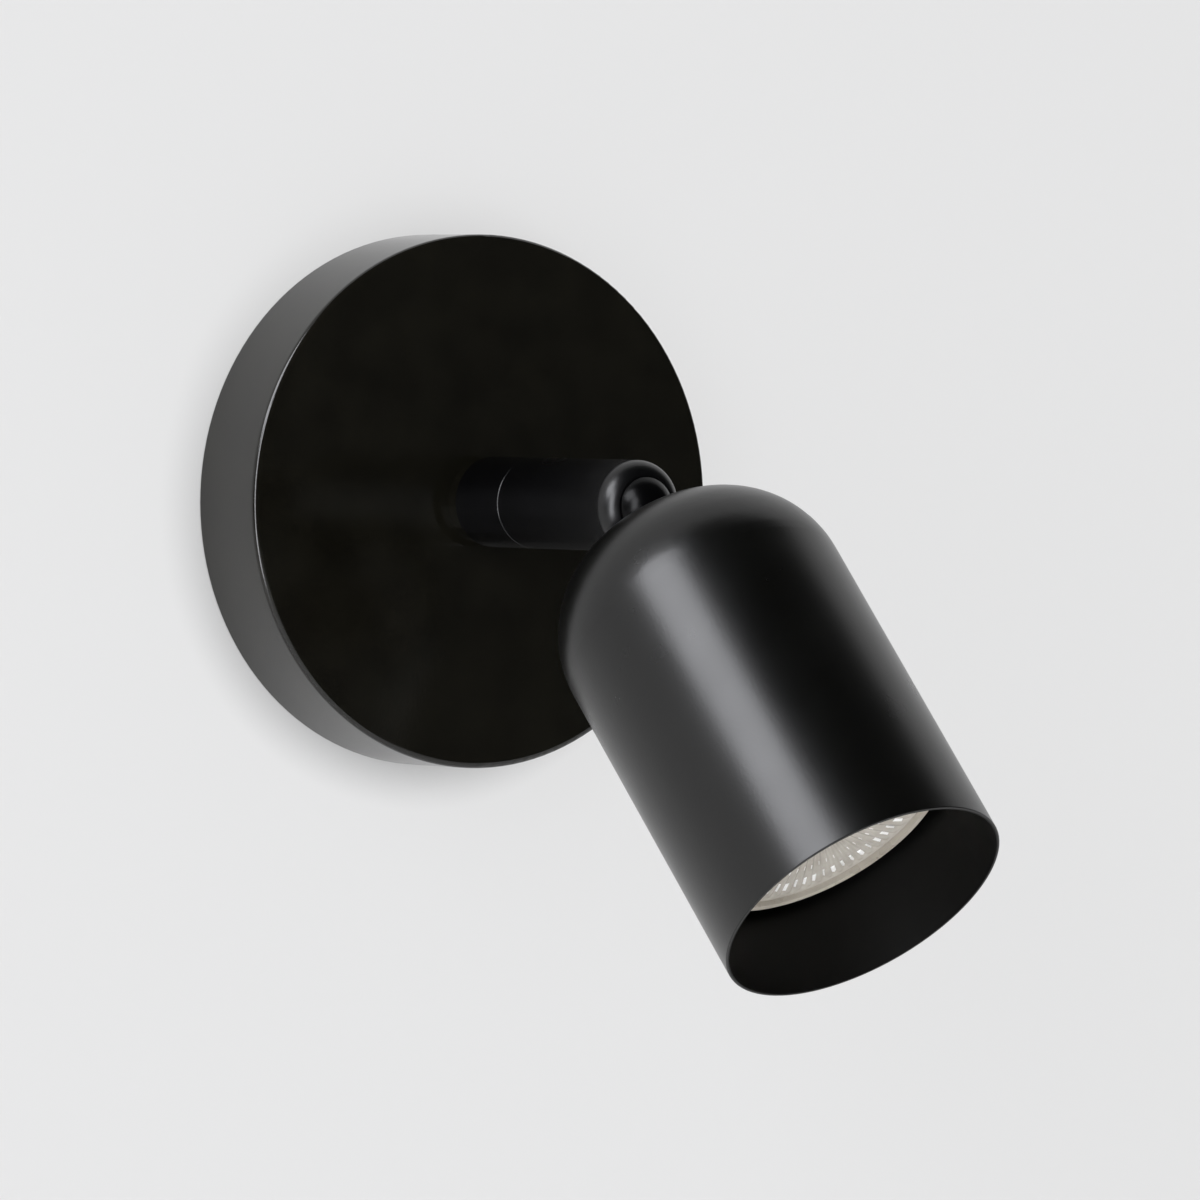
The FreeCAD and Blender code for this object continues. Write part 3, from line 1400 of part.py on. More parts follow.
def lamp_base():
    spigot = d.lamp_base_radius - d.lamp_wall - d.hole_fit
    inside = spigot - d.lamp_spigot_wall
    floor = LAMP_REAR + d.lamp_base_floor
    body = turned("lamp_base", [
        (NOTHING, LAMP_REAR),
        (d.lamp_base_radius - d.lamp_base_bevel, LAMP_REAR),
        (d.lamp_base_radius, LAMP_REAR + d.lamp_base_bevel),
        (d.lamp_base_radius, LAMP_BODY_REAR),
        (spigot, LAMP_BODY_REAR),
        (spigot, LAMP_BODY_REAR + d.lamp_spigot),
        (inside, LAMP_BODY_REAR + d.lamp_spigot),
        (inside, floor),
        (NOTHING, floor),
    ])
    holes = sketch_on(body, "XZ_Plane", "pin_holes")
    holes.setExpression(".AttachmentOffset.Base.z", floor.text)
    for name, place in (("right", d.pin_circle), ("left", -d.pin_circle)):
        draw_circle(holes, place, NOTHING, d.pin_neck + d.thread_fit, name)
    pocket(body, holes, d.lamp_base_floor + BEYOND)
    return on_head(body)


def lamp_pins():
    pins = []
    for name, place in (("right", d.pin_circle), ("left", -d.pin_circle)):
        neck = rod(
            f"pin_neck_{name}", d.pin_neck, d.pin_size + d.lamp_base_floor, place, -PIN_TIP,
            NOTHING, OUT,
        )
        head = rod(
            f"pin_head_{name}", d.pin_head, d.pin_head_height, place, -PIN_TIP, NOTHING, OUT
        )
        pins.append(fused(f"pin_{name}", [neck, head]))
    return on_head(group("lamp_pins", pins))


def lamp_body():
    return on_head(turned("lamp_body", [
        (d.lamp_base_radius, LAMP_BODY_REAR),
        (d.lamp_waist, LAMP_WAIST),
        (LAMP_SHOULDER_RADIUS, LAMP_SHOULDER),
        (d.lamp_radius, LAMP_BAND),
        (d.lamp_radius, LAMP_FACE),
        (d.lamp_radius - d.lamp_wall, LAMP_FACE),
        (d.lamp_radius - d.lamp_wall, LAMP_BAND),
        (LAMP_SHOULDER_RADIUS - d.lamp_wall, LAMP_SHOULDER),
        (d.lamp_waist - d.lamp_wall, LAMP_WAIST),
        (d.lamp_base_radius - d.lamp_wall, LAMP_BODY_REAR),
    ]))


def light_board():
    return on_head(turned("light_board", [
        (NOTHING, BOARD_REAR),
        (d.board_radius, BOARD_REAR),
        (d.board_radius, BOARD_FRONT),
        (NOTHING, BOARD_FRONT),
    ]))


def light_chip():
    return on_head(turned("light_chip", [
        (NOTHING, BOARD_FRONT),
        (d.chip_radius, BOARD_FRONT),
        (d.chip_radius, BOARD_FRONT + d.chip_height),
        (NOTHING, BOARD_FRONT + d.chip_height),
    ]))


def reflector():
    front = LAMP_FACE - d.glass_inset - d.glass_sheet
    flange = d.lamp_radius - d.lamp_wall - d.hole_fit
    return on_head(turned("reflector", [
        (d.reflector_rear, BOARD_FRONT),
        (d.reflector_rear + d.reflector_wall, BOARD_FRONT),
        (REFLECTOR_FRONT - d.reflector_wall / 2, front - d.reflector_wall * 2),
        (flange, front - d.reflector_wall),
        (flange, front),
        (REFLECTOR_FRONT, front),
        (REFLECTOR_FRONT - d.reflector_wall, front - d.reflector_wall * 2),
    ]))


def cover_glass():
    front = LAMP_FACE - d.glass_inset
    edge = d.lamp_radius - d.lamp_wall - d.hole_fit
    return on_head(turned("cover_glass", [
        (NOTHING, front - d.glass_sheet),
        (edge, front - d.glass_sheet),
        (edge, front),
        (NOTHING, front),
    ]))


BUILDERS = (
    wall_plate, mounting_plate, rim_screws, terminal_block, block_screws, terminal_clamps,
    terminal_screws, earth_lug, earth_washer, earth_screw, earth_lead, base_leads,
    hollow_nipple, locknut, toothed_washer, lead_bush, base_collar, arm_base, base_insert,
    swivel_stop_pin, swivel_spindle, disc_spring, arm_tube, arm_plug, ball_spring, ball_seat,
    arm_sleeve, arm_leads, pivot_ball, shade, stem_washer, stem_nut, holder_strap,
    lamp_holder, holder_screws, holder_contacts, head_sleeve, head_leads, lamp_base,
    lamp_pins, lamp_body, light_board, light_chip, reflector, cover_glass,
)


def main():
    """Build every sub-part, check it and write its file."""
    subparts = [build() for build in BUILDERS]
    doc.recompute()
    for item in doc.Objects:
        if "Invalid" in item.State or "Error" in item.State:
            raise RuntimeError(f"{item.Name} failed: {item.State}")
    os.makedirs("parts", exist_ok=True)
    for item in subparts:
        shape = item.Shape
        if shape.isNull() or not shape.isValid():
            raise RuntimeError(f"{item.Name} has no valid shape")
        item.Label = item.Name
        shape.exportStep(f"parts/{item.Label}.step")
    print(f"{len(subparts)} sub-parts written")


main()
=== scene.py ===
import math

import bmesh
import bpy
from mathutils import Matrix, Vector


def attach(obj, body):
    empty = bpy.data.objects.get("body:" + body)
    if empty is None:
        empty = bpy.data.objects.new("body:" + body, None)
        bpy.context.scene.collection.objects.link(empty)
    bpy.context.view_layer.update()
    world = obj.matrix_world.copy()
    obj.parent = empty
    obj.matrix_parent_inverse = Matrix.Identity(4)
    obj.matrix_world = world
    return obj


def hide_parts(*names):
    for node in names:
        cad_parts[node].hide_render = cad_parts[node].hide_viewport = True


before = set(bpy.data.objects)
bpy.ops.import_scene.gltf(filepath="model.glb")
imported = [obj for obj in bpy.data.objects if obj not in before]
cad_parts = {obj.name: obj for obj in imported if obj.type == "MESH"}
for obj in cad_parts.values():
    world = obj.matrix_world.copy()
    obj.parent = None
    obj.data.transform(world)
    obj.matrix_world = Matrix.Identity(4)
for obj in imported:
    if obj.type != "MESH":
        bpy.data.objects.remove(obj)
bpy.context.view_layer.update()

MM = 0.001

# the shade's own line, from the ball's centre towards the mouth, and two directions across it
BALL = Vector((0.0, -73.1, 0.0)) * MM
LINE = Vector((0.1016104, -0.6401097, -0.7615346))
ACROSS = Vector((0.9912155, 0.0, 0.1322564))
UPWARD = LINE.cross(ACROSS)

# the camera fitted to the photograph, with its focal length in the photograph's pixels
CAMERA_PLACE = Vector((-1.16897, -1.86366, 0.03981))
CAMERA_RIGHT = Vector((0.83919, -0.54382, 0.0))
CAMERA_UP = Vector((0.01450, 0.02238, 0.99964))
CAMERA_BACK = Vector((-0.54363, -0.83889, 0.02667))
FOCAL_PIXELS = 11665.2
PHOTO_PIXELS = 1200
SENSOR_WIDTH = 36.0

# the stage, in metres and linear levels
PALE = 0.783                # level of the pale wall in the photograph
PALE_GLOW = 0.74            # level of the share of it that does not depend on the lamps
WALL_GLOW = 0.90            # that share on the wall
FLOOR_GLOW = 0.6            # and on the floor
WALL_GAP = 0.5 * MM         # the wall stands this far behind the light's rear face
WALL_OPENING = 49.3 * MM    # radius of the wall's opening behind the wall plate
STAGE_REACH = 7.0
FLOOR_HEIGHT = -0.6
CONTACT_REACH = 9 * MM      # distance over which the wall darkens towards the plate
CONTACT_SPAN = 52 * MM      # from this far above the plate's centre to as far below, it deepens
CONTACT_TOP = 0.22          # its strength at the top, as a share of that at the bottom
CONTACT_DEPTH = 0.9
SCREEN_LEVEL = 0.03         # the dark screen that the gloss reflects
SCREEN_RADIUS = 4.0
SCREEN_RIM = -0.02          # its open rim stands this far in front of the wall
WORLD_FILL = 0.5
LAMP_TINT = (0.975, 0.985, 1.03)

# spans in millimetres over which a coat changes along or around its piece
NOSE_SPAN = (71.6, 72.4)        # from the wall, where the arm's nose starts
SHADE_WALL_SPAN = (27.3, 26.95)  # from the shade's line, within its wall
SHADE_REAR_SPAN = (28.5, 29.0)  # from the ball's centre, in front of the shade's domed rear

# the lamp's lens, in millimetres
RIBS = 66
LENS_RADIUS = 23.8
LENS_RECESS = 0.05          # the raised ring lies this far behind the plain glass's face
LENS_REAR_GAP = 0.1         # the lens's rear lies this far in front of the plain glass's
RADIAL_STEP = 0.3
PARTS_PER_RIB = 10
DOME_RADIUS = 9.0
DOME_HEIGHT = 0.35
RING_RADIUS = 9.9
RING_WIDTH = 0.45
RING_HEIGHT = 0.42
RIB_HEIGHT = 0.16
RIB_START = (10.8, 12.0)    # radii between which the ribs rise
RIB_END = (22.2, 23.0)      # and fall again
FACET_RINGS = ((14.6, 16.4, 0.50), (18.9, 21.4, 0.85))  # inner and outer radius, facet width
FACET_TOP = 0.2             # depth of the facets' ridges behind the plain glass's face
FACET_DROP = 0.30           # and from the ridge to the facet's foot
FACET_SWING = 2.4           # turn from one facet to the next in the wave of their sizes
FACET_INNER_SHIFT = 0.5     # most that the wave moves a facet's inner end outwards
FACET_OUTER_SHIFT = 0.4     # and its outer end inwards
FACET_LEAST_WIDTH = 0.45    # the narrowest facet's share of its ring's facet width
RIDGE_INSET = 0.15          # the ridge ends this far inside the facet's ends


# ---------------------------------------------------------------- shader nodes

def add_node(tree, kind, **values):
    """New shader node, with the values of its named inputs."""
    node = tree.nodes.new("ShaderNode" + kind)
    for name, value in values.items():
        node.inputs[name.replace("_", " ")].default_value = value
    return node


def combine(tree, operation, first, second):
    """Result of a Math node on two values, each a socket or a number."""
    node = add_node(tree, "Math")
    node.operation = operation
    for socket, value in zip(node.inputs, (first, second)):
        if isinstance(value, bpy.types.NodeSocket):
            tree.links.new(value, socket)
        else:
            socket.default_value = value
    return node.outputs[0]


def map_range(tree, value, **values):
    """A value carried from one range to another, and kept within it."""
    node = add_node(tree, "MapRange", **values)
    tree.links.new(value, node.inputs["Value"])
    return node.outputs["Result"]


def seen_rays(tree):
    """1 for camera, glossy and transmission rays, and 0 for the rest."""
    path = add_node(tree, "LightPath").outputs
    first = combine(tree, "MAXIMUM", path["Is Camera Ray"], path["Is Glossy Ray"])
    return combine(tree, "MAXIMUM", first, path["Is Transmission Ray"])


def world_height(tree):
    """Height of the shaded point, in metres."""
    place = add_node(tree, "NewGeometry")
    parts = add_node(tree, "SeparateXYZ")
    tree.links.new(place.outputs["Position"], parts.inputs[0])
    return parts.outputs["Z"]


def contact_shade(tree):
    """Soft dark line where the plate meets the wall, deepest under it: the light is overhead."""
    open_share = add_node(tree, "AmbientOcclusion", Distance=CONTACT_REACH)
    open_share.samples = 12
    depth = map_range(tree, world_height(tree), From_Min=CONTACT_SPAN, From_Max=-CONTACT_SPAN,
                      To_Min=CONTACT_TOP, To_Max=1.0)
    shade = map_range(tree, open_share.outputs["AO"], From_Min=1.0, From_Max=0.0,
                      To_Min=0.0, To_Max=CONTACT_DEPTH)
    return combine(tree, "SUBTRACT", 1.0, combine(tree, "MULTIPLY", depth, shade))


# ---------------------------------------------------------------- camera, stage, lights

def add_camera():
    """A long lens at the photograph's viewing angle."""
    data = bpy.data.cameras.new("camera")
    data.sensor_width = SENSOR_WIDTH
    data.lens = FOCAL_PIXELS / PHOTO_PIXELS * SENSOR_WIDTH
    data.clip_end = 100.0
    camera = bpy.data.objects.new("camera", data)
    turn = Matrix((CAMERA_RIGHT, CAMERA_UP, CAMERA_BACK)).transposed().to_4x4()
    camera.matrix_world = Matrix.Translation(CAMERA_PLACE) @ turn
    bpy.context.scene.collection.objects.link(camera)
    bpy.context.scene.camera = camera


def bare_material(name):
    """Material with an output node alone, and that node."""
    material = bpy.data.materials.new(name)
    material.use_nodes = True
    material.node_tree.nodes.clear()
    return material, add_node(material.node_tree, "OutputMaterial")


def mix_shaders(tree, share, first, second):
    """The first shader where the share is 0, and the second where it is 1."""
    node = add_node(tree, "MixShader")
    for socket, source in zip(node.inputs, (share, first, second)):
        tree.links.new(source, socket)
    return node.outputs[0]


def stage_material(name, glow):
    """A plain pale surface that keeps shadows, and that is clear when seen from behind."""
    material, output = bare_material(name)
    tree = material.node_tree
    diffuse = add_node(tree, "BsdfDiffuse", Color=(PALE, PALE, PALE, 1))
    emission = add_node(tree, "Emission", Color=(PALE_GLOW, PALE_GLOW, PALE_GLOW, 1))
    tree.links.new(contact_shade(tree), emission.inputs["Strength"])
    share = combine(tree, "MULTIPLY", seen_rays(tree), glow)
    front = mix_shaders(tree, share, diffuse.outputs[0], emission.outputs[0])
    clear = add_node(tree, "BsdfTransparent").outputs[0]
    behind = add_node(tree, "NewGeometry").outputs["Backfacing"]
    tree.links.new(mix_shaders(tree, behind, front, clear), output.inputs["Surface"])
    return material


def add_sheet(name, vertices, faces, material):
    """A stage piece, which is not part of the light."""
    mesh = bpy.data.meshes.new(name)
    mesh.from_pydata([Vector(v) for v in vertices], [], faces)
    mesh.materials.append(material)
    item = bpy.data.objects.new(name, mesh)
    bpy.context.scene.collection.objects.link(item)
    return item


def ring_faces(start, count, flip=False):
    """Faces between two rings of `count` points, the first ring from point `start` on."""
    faces = []
    for step in range(count):
        here, after = start + step, start + (step + 1) % count
        face = (here, count + here, count + after, after)
        faces.append(face[::-1] if flip else face)
    return faces


def add_wall():
    """The wall, facing -Y, open behind the wall plate so that the plate's rear gets light."""
    count = 96
    vertices = []
    for radius in (WALL_OPENING, STAGE_REACH):
        for step in range(count):
            angle = 2 * math.pi * step / count
            z = max(radius * math.sin(angle), FLOOR_HEIGHT)
            vertices.append((radius * math.cos(angle), WALL_GAP, z))
    add_sheet("stage_wall", vertices, ring_faces(0, count),
              stage_material("stage_wall", WALL_GLOW))


def add_floor():
    """The floor, far below the light."""
    corners = ((-1, -1), (1, -1), (1, 1), (-1, 1))
    vertices = [(x * STAGE_REACH, y * STAGE_REACH, FLOOR_HEIGHT) for x, y in corners]
    add_sheet("stage_floor", vertices, [(0, 1, 2, 3)], stage_material("stage_floor", FLOOR_GLOW))


def add_screen():
    """Dark studio screen round the front of the light, seen by reflections alone."""
    material, output = bare_material("stage_screen")
    emission = add_node(material.node_tree, "Emission", Color=(1, 1, 1, 1), Strength=SCREEN_LEVEL)
    material.node_tree.links.new(emission.outputs[0], output.inputs["Surface"])
    rings, count = 12, 48
    vertices, faces = [], []
    for ring in range(rings + 1):
        tilt = math.pi / 2 * ring / rings
        for step in range(count):
            angle = 2 * math.pi * step / count
            vertices.append((SCREEN_RADIUS * math.sin(tilt) * math.cos(angle),
                             SCREEN_RIM - SCREEN_RADIUS * math.cos(tilt),
                             SCREEN_RADIUS * math.sin(tilt) * math.sin(angle)))
    for ring in range(rings):
        faces += ring_faces(ring * count, count, flip=True)
    screen = add_sheet("stage_screen", vertices, faces, material)
    screen.visible_camera = False
    screen.visible_diffuse = False
    screen.visible_transmission = False
    screen.visible_shadow = False


def add_light(name, direction, side, distance, width, height, radiance, glossy=True):
    """A soft box at a direction from the ball; `side` is the direction of its width."""
    data = bpy.data.lights.new(name, "AREA")
    data.shape = "RECTANGLE"
    data.size = width
    data.size_y = height
    data.energy = radiance * math.pi * width * height
    data.color = LAMP_TINT
    light = bpy.data.objects.new(name, data)
    way = Vector(direction).normalized()
    across = (Vector(side) - way * way.dot(Vector(side))).normalized()
    turn = Matrix((across, way.cross(across), way)).transposed().to_4x4()
    light.matrix_world = Matrix.Translation(BALL + way * distance) @ turn
    light.visible_glossy = glossy
    bpy.context.scene.collection.objects.link(light)


def add_world():
    """Even fill light, and the wall's own level where the world is seen."""
    world = bpy.data.worlds.new("world")
    world.use_nodes = True
    tree = world.node_tree
    background = tree.nodes["Background"]
    level = map_range(tree, seen_rays(tree), To_Min=WORLD_FILL, To_Max=PALE)
    tree.links.new(level, background.inputs["Strength"])
    background.inputs["Color"].default_value = (1, 1, 1, 1)
    bpy.context.scene.world = world


# ---------------------------------------------------------------- materials

class Look:
    """A procedural material built round one Principled shader."""

    def __init__(self, name):
        self.material = bpy.data.materials.new(name)
        self.material.use_nodes = True
        self.tree = self.material.node_tree
        self.shader = self.tree.nodes["Principled BSDF"]
        self.place = add_node(self.tree, "TexCoord").outputs["Object"]

    def set(self, **values):
        """Set the shader's named inputs."""
        for name, value in values.items():
            self.shader.inputs[name.replace("_", " ")].default_value = value
        return self

    def noise(self, size, detail=3.0, stretch=None):
        """Noise whose blotches measure about `size` millimetres."""
        place = self.place
        if stretch:
            mapping = add_node(self.tree, "Mapping", Scale=stretch)
            self.tree.links.new(place, mapping.inputs["Vector"])
            place = mapping.outputs[0]
        node = add_node(self.tree, "TexNoise", Scale=1 / (size * MM), Detail=detail)
        self.tree.links.new(place, node.inputs["Vector"])
        return node.outputs["Fac"]

    def colour(self, fac, low, high, start=0.3, end=0.7):
        """Base colour between two colours."""
        node = add_node(self.tree, "ValToRGB")
        for element, position, tone in zip(node.color_ramp.elements, (start, end), (low, high)):
            element.position = position
            element.color = tuple(tone) + (1,)
        self.tree.links.new(fac, node.inputs[0])
        self.tree.links.new(node.outputs[0], self.shader.inputs["Base Color"])
        return self

    def roughness(self, fac, low, high):
        """Roughness between two values."""
        level = map_range(self.tree, fac, From_Min=0.3, From_Max=0.7, To_Min=low, To_Max=high)
        self.tree.links.new(level, self.shader.inputs["Roughness"])
        return self

    def bump(self, fac, depth, strength=1.0):
        """Bump of a depth in millimetres, on top of any earlier bump."""
        node = add_node(self.tree, "Bump", Strength=strength, Distance=depth * MM)
        self.tree.links.new(fac, node.inputs["Height"])
        socket = self.shader.inputs["Normal"]
        if socket.is_linked:
            self.tree.links.new(socket.links[0].from_socket, node.inputs["Normal"])
        self.tree.links.new(node.outputs[0], socket)
        return self

    def vector(self, operation, first, second=None):
        """Outputs of a Vector Math node on a socket and a constant."""
        node = add_node(self.tree, "VectorMath")
        node.operation = operation
        self.tree.links.new(first, node.inputs[0])
        if second is not None:
            node.inputs[1].default_value = second
        return node.outputs

    def split(self, direction, offset, low, high):
        """Two colours, either side of a plane at an offset from the origin."""
        distance = self.vector("DOT_PRODUCT", self.place, direction)["Value"]
        side = combine(self.tree, "GREATER_THAN", distance, offset)
        return self.colour(side, low, high, 0.4, 0.6)

    def along(self, direction, origin, span):
        """0 to 1 over a span in millimetres, measured from an origin along a direction."""
        offset = self.vector("SUBTRACT", self.place, origin)[0]
        return self.over_span(self.vector("DOT_PRODUCT", offset, direction)["Value"], span)

    def around(self, direction, origin, span):
        """0 to 1 over a span in millimetres, measured outwards from a line."""
        offset = self.vector("SUBTRACT", self.place, origin)[0]
        cross = self.vector("CROSS_PRODUCT", offset, direction)[0]
        return self.over_span(self.vector("LENGTH", cross)["Value"], span)

    def over_span(self, value, span):
        """0 to 1 while a length goes from one end of a span in millimetres to the other."""
        return map_range(self.tree, value, From_Min=span[0] * MM, From_Max=span[1] * MM)

    def blend(self, name, share, value):
        """Move one of the shader's numbers towards a value, by a share from 0 to 1."""
        socket = self.shader.inputs[name]
        node = add_node(self.tree, "Mix")
        node.inputs[2].default_value = socket.default_value
        node.inputs[3].default_value = value
        if socket.is_linked:
            self.tree.links.new(socket.links[0].from_socket, node.inputs[2])
        self.tree.links.new(share, node.inputs[0])
        self.tree.links.new(node.outputs[0], socket)
        return self


def powder_coat(name, base, rough, grain=0.55, depth=0.02, gloss=0.5):
    """Satin black coat: a fine orange peel, with slow changes of tone and sheen."""
    look = Look(name).set(Specular_IOR_Level=gloss)
    look.colour(look.noise(9), [c * 0.75 for c in base], [c * 1.25 for c in base])
    look.roughness(look.noise(14, 4), rough - 0.02, rough + 0.02)
    look.bump(look.noise(grain, 2), depth, 0.5)
    look.bump(look.noise(grain / 4, 1), depth / 5, 0.4)
    return look


def shade_coat():
    """The shade's coat, duller on its inner side."""
    look = powder_coat("coat_shade", (0.0005, 0.0005, 0.0003), rough=0.29)
    inside = combine(look.tree, "MULTIPLY", look.around(LINE, BALL, SHADE_WALL_SPAN),
                     look.along(LINE, BALL, SHADE_REAR_SPAN))
    return look.blend("Roughness", inside, 0.55).blend("Specular IOR Level", inside, 0.2)


def arm_coat():
    """The arm's coat, a little duller and brighter on the rounded nose."""
    look = powder_coat("coat_arm", (0.0005, 0.0005, 0.0007), rough=0.26, gloss=0.38)
    nose = look.along((0, -1, 0), (0, 0, 0), NOSE_SPAN)
    return look.blend("Roughness", nose, 0.32).blend("Specular IOR Level", nose, 0.5)


def metal(name, low, high, rough, stretch=None):
    """Bare metal; a stretch draws its grain out along one direction."""
    look = Look(name).set(Metallic=1.0)
    look.colour(look.noise(6), low, high)
    look.roughness(look.noise(2.5, 4, stretch), rough - 0.06, rough + 0.06)
    look.bump(look.noise(0.5, 3, stretch), 0.01, 0.4)
    return look


def plastic(name, low, high, rough, grain=0.4):
    """Plastic, ceramic or woven sleeve, by its roughness and grain."""
    look = Look(name)
    look.colour(look.noise(5), low, high)
    look.roughness(look.noise(4), rough - 0.04, rough + 0.04)
    look.bump(look.noise(grain), 0.01, 0.4)
    return look


def insulation(name, direction, offset, low, high):
    """Leads in two colours, one either side of a plane that runs along them."""
    look = Look(name)
    look.split(direction, offset, low, high)
    look.roughness(look.noise(3), 0.4, 0.5)
    look.bump(look.noise(0.4), 0.01, 0.3)
    return look


def lens_look():
    """Warm pale lens, glossy over a soft grain."""
    look = Look("lamp_lens").set(IOR=1.49, Coat_Weight=0.3, Coat_Roughness=0.05)
    look.colour(look.noise(4), (0.40, 0.37, 0.32), (0.50, 0.47, 0.41))
    look.roughness(look.noise(2), 0.14, 0.2)
    look.bump(look.noise(0.8), 0.01, 0.2)
    return look


def painted_glint_facet_look():
    """Near-white facets whose colour is a painted glint of the light on the lens."""
    look = Look("lamp_facets_painted_glint")
    look.colour(look.noise(2), (0.90, 0.89, 0.86), (0.98, 0.97, 0.94))
    look.roughness(look.noise(1), 0.1, 0.2)
    return look


# linear colours of the leads
BROWN = (0.10, 0.035, 0.012)
BLUE = (0.02, 0.10, 0.33)
GREEN = (0.09, 0.30, 0.04)
YELLOW = (0.75, 0.60, 0.03)

# metals and plastics: name, darkest and lightest colour, roughness, and stretch or grain
LOOKS = {
    "plate": powder_coat("coat_plate", (0.0036, 0.0033, 0.0022), rough=0.12),
    "arm": arm_coat(),
    "shade": shade_coat(),
    "ball": powder_coat("coat_ball", (0.0010, 0.0010, 0.0011), rough=0.24, grain=1.2,
                        depth=0.01, gloss=0.13),
    "screw_black": metal("screw_black", (0.02, 0.02, 0.02), (0.04, 0.04, 0.042), 0.38),
    "zinc": metal("zinc", (0.50, 0.51, 0.52), (0.66, 0.67, 0.68), 0.36, (1, 1, 0.15)),
    "steel": metal("steel", (0.52, 0.52, 0.53), (0.68, 0.68, 0.69), 0.28),
    "brass": metal("brass", (0.58, 0.40, 0.15), (0.76, 0.57, 0.26), 0.3),
    "board": metal("board", (0.72, 0.72, 0.72), (0.84, 0.84, 0.84), 0.45),
    "terminal": plastic("terminal_plastic", (0.70, 0.69, 0.62), (0.80, 0.79, 0.73), 0.42),
    "black_plastic": plastic("black_plastic", (0.010, 0.010, 0.010), (0.018, 0.018, 0.018), 0.5),
    "seat": plastic("seat_plastic", (0.72, 0.72, 0.70), (0.82, 0.82, 0.80), 0.4),
    "sleeve": plastic("sleeve_white", (0.62, 0.60, 0.54), (0.74, 0.72, 0.67), 0.7, 0.25),
    "ceramic": plastic("ceramic", (0.72, 0.70, 0.64), (0.82, 0.80, 0.75), 0.22, 0.8),
    "lamp": plastic("lamp_shell", (0.40, 0.36, 0.30), (0.50, 0.46, 0.39), 0.3),
    "phosphor": plastic("phosphor", (0.70, 0.50, 0.07), (0.80, 0.60, 0.12), 0.6, 0.15),
    "reflector": plastic("reflector", (0.50, 0.48, 0.44), (0.60, 0.58, 0.53), 0.18),
    "base_leads": insulation("base_leads", (0, 0, 1), 0, BLUE, BROWN),
    "arm_leads": insulation("arm_leads", ACROSS, 0, BLUE, BROWN),
    "head_leads": insulation("head_leads", ACROSS, ACROSS.dot(BALL), BLUE, BROWN),
    "earth_lead": insulation("earth_lead", (0, 0, 1), -9 * MM, GREEN, YELLOW),
    "lens": lens_look(),
    # the facets' near-white colour is a painted glint
    "facet": painted_glint_facet_look(),
}

NODE_LOOKS = {
    "plate": "canopy base_collar",
    "arm": "arm_base arm_tube",
    "shade": "shade",
    "ball": "pivot_ball",
    "screw_black": "canopy_screws",
    "zinc": "mounting_plate holder_strap",
    "steel": "block_screws terminal_screws earth_washer earth_screw toothed_washer "
             "swivel_stop_pin swivel_spindle disc_spring ball_spring stem_washer stem_nut "
             "holder_screws lamp_pins",
    "brass": "terminal_clamps earth_lug hollow_nipple locknut base_insert arm_plug "
             "holder_contacts",
    "terminal": "terminal_block",
    "black_plastic": "lead_bush",
    "seat": "ball_seat",
    "sleeve": "arm_sleeve head_sleeve",
    "ceramic": "lamp_holder",
    "lamp": "lamp_base lamp_body",
    "board": "light_board",
    "phosphor": "light_chip",
    "reflector": "reflector",
    "base_leads": "base_leads",
    "arm_leads": "arm_leads",
    "head_leads": "head_leads",
    "earth_lead": "earth_lead",
    "lens": "cover_glass",
}


def dress_nodes():
    """Give every CAD node its material."""
    for look, names in NODE_LOOKS.items():
        for name in names.split():
            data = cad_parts[name].data
            data.materials.clear()
            data.materials.append(LOOKS[look].material)


# ---------------------------------------------------------------- lamp lens

def reach_span(name):
    """Lowest and highest distance of a node from the ball's centre, along the shade's line."""
    reaches = [(v.co - BALL).dot(LINE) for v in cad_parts[name].data.vertices]
    return min(reaches), max(reaches)


def head_point(radius, angle, reach):
    """Point at a distance along the shade's line, and a radius and an angle round it."""
    return BALL + LINE * reach + (ACROSS * math.cos(angle) + UPWARD * math.sin(angle)) * radius


def smooth_step(value, low, high):
    """0 to 1 from a low to a high value, with soft ends."""
    share = min(max((value - low) / (high - low), 0), 1)
    return share * share * (3 - 2 * share)


def lens_height(radius, rib):
    """Height above the lens's flat level in millimetres; rib runs from -1 to 1."""
    dome = DOME_HEIGHT * (1 - (radius / DOME_RADIUS) ** 2) if radius < DOME_RADIUS else 0.0
    ring = RING_HEIGHT * math.exp(-((radius - RING_RADIUS) / RING_WIDTH) ** 2)
    fluted = smooth_step(radius, *RIB_START) * (1 - smooth_step(radius, *RIB_END))
    return dome + ring + RIB_HEIGHT * rib * fluted


def lamp_object(name, mesh, look):
    """Object from a finished mesh, with a material."""
    bmesh.ops.recalc_face_normals(mesh, faces=mesh.faces)
    data = bpy.data.meshes.new(name)
    mesh.to_mesh(data)
    mesh.free()
    data.materials.append(LOOKS[look].material)
    item = bpy.data.objects.new(name, data)
    bpy.context.scene.collection.objects.link(item)
    return item


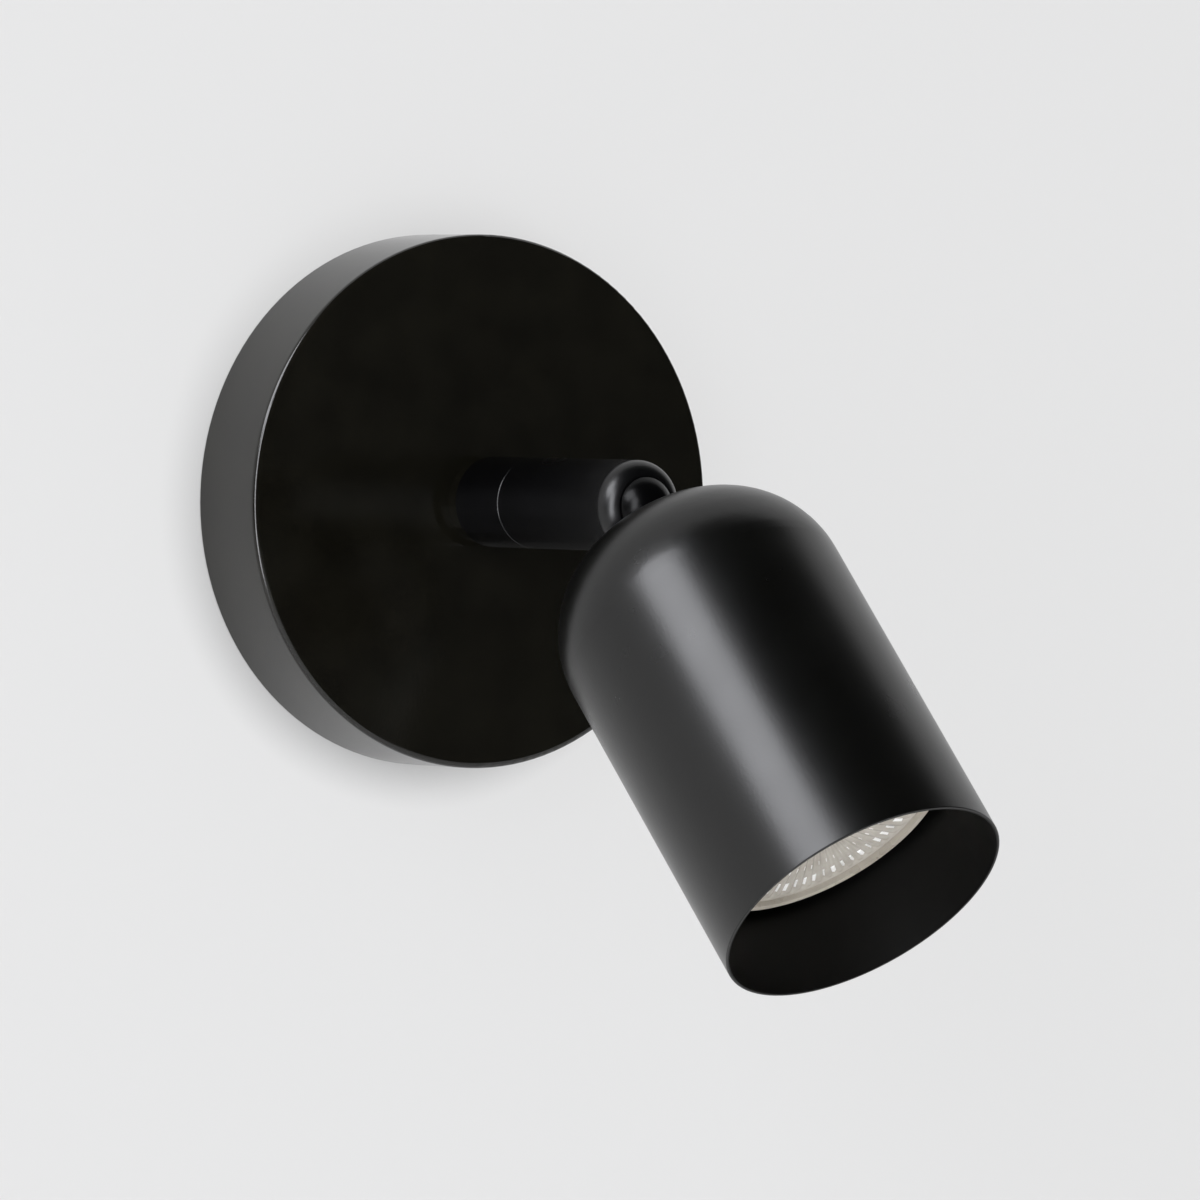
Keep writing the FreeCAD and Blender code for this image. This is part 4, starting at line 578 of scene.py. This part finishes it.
def add_lens():
    """Lens with radial flutes, a raised ring and a low dome in the middle."""
    rear, front = reach_span("cover_glass")
    crest = front - LENS_RECESS * MM
    back_reach = rear + LENS_REAR_GAP * MM
    steps = int(LENS_RADIUS / RADIAL_STEP)
    radii = [RADIAL_STEP * (step + 1) for step in range(steps)] + [LENS_RADIUS]
    count = RIBS * PARTS_PER_RIB
    angles = [2 * math.pi * step / count for step in range(count)]
    mesh = bmesh.new()
    rows = []
    for radius in radii:
        row = []
        for angle in angles:
            height = lens_height(radius, math.cos(RIBS * angle)) - RING_HEIGHT
            row.append(mesh.verts.new(head_point(radius * MM, angle, crest + min(height, 0) * MM)))
        rows.append(row)
    rows.append([mesh.verts.new(head_point(LENS_RADIUS * MM, angle, back_reach))
                 for angle in angles])
    centre = mesh.verts.new(head_point(0, 0, crest + (DOME_HEIGHT - RING_HEIGHT) * MM))
    rear_centre = mesh.verts.new(head_point(0, 0, back_reach))
    for step in range(count):
        after = (step + 1) % count
        mesh.faces.new((centre, rows[0][step], rows[0][after]))
        mesh.faces.new((rear_centre, rows[-1][after], rows[-1][step]))
        for inner, outer in zip(rows, rows[1:]):
            mesh.faces.new((inner[step], outer[step], outer[after], inner[after]))
    for face in mesh.faces:
        face.smooth = True
    lens = lamp_object("lamp_lens", mesh, "lens")
    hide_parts("cover_glass")
    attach(lens, "lamp")


def add_facet(mesh, angle, low, high, width, top):
    """One hipped facet between two radii in millimetres."""
    foot = top - FACET_DROP * MM
    feet = [mesh.verts.new(head_point(radius * MM, angle + side * width / 2 / radius, foot))
            for radius, side in ((low, -1), (low, 1), (high, 1), (high, -1))]
    ridge = [mesh.verts.new(head_point(radius * MM, angle, top))
             for radius in (low + RIDGE_INSET, high - RIDGE_INSET)]
    mesh.faces.new((feet[0], feet[1], ridge[0]))
    mesh.faces.new((feet[1], feet[2], ridge[1], ridge[0]))
    mesh.faces.new((feet[2], feet[3], ridge[1]))
    mesh.faces.new((feet[3], feet[0], ridge[0], ridge[1]))
    mesh.faces.new(feet[::-1])


def add_facets():
    """Short facets on the lens's flutes, in two rings, coloured near-white as a painted glint."""
    top = reach_span("cover_glass")[1] - FACET_TOP * MM
    mesh = bmesh.new()
    for number, (inner, outer, width) in enumerate(FACET_RINGS):
        for rib in range(RIBS):
            angle = 2 * math.pi * (rib + 0.5 * number) / RIBS
            swing = 0.5 + 0.5 * math.sin(rib * FACET_SWING + number)
            low = inner + FACET_INNER_SHIFT * swing
            high = outer - FACET_OUTER_SHIFT * (1 - swing)
            wide = width * (FACET_LEAST_WIDTH + (1 - FACET_LEAST_WIDTH) * swing)
            add_facet(mesh, angle, low, high, wide, top)
    # near-white colour: a painted glint on the facets
    facets = lamp_object("lamp_facets_painted_glint", mesh, "facet")
    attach(facets, "lamp")


# ---------------------------------------------------------------- scene

bpy.context.scene.view_settings.view_transform = "Standard"
add_camera()
add_wall()
add_floor()
add_screen()
add_world()
add_light("key", (-0.78, -0.20, 0.60), side=(0.51, -0.64, 0.57),
          distance=1.1, width=0.62, height=0.60, radiance=7.6)
add_light("key_skirt", (-0.80, -0.16, 0.58), side=(0.51, -0.64, 0.57),
          distance=1.25, width=1.3, height=1.2, radiance=0.5)
add_light("strip", (-0.77, -0.64, 0.0), side=(0.64, -0.77, 0),
          distance=1.4, width=0.5, height=1.5, radiance=8.0)
add_light("front", (0.12, -0.98, 0.14), side=(1, 0, 0),
          distance=2.0, width=2.6, height=2.6, radiance=0.4, glossy=False)
add_light("low", (0.08, -0.82, -0.56), side=(1, 0, 0),
          distance=0.85, width=0.9, height=0.5, radiance=3.0, glossy=False)
dress_nodes()
add_lens()
add_facets()

bpy.context.view_layer.update()
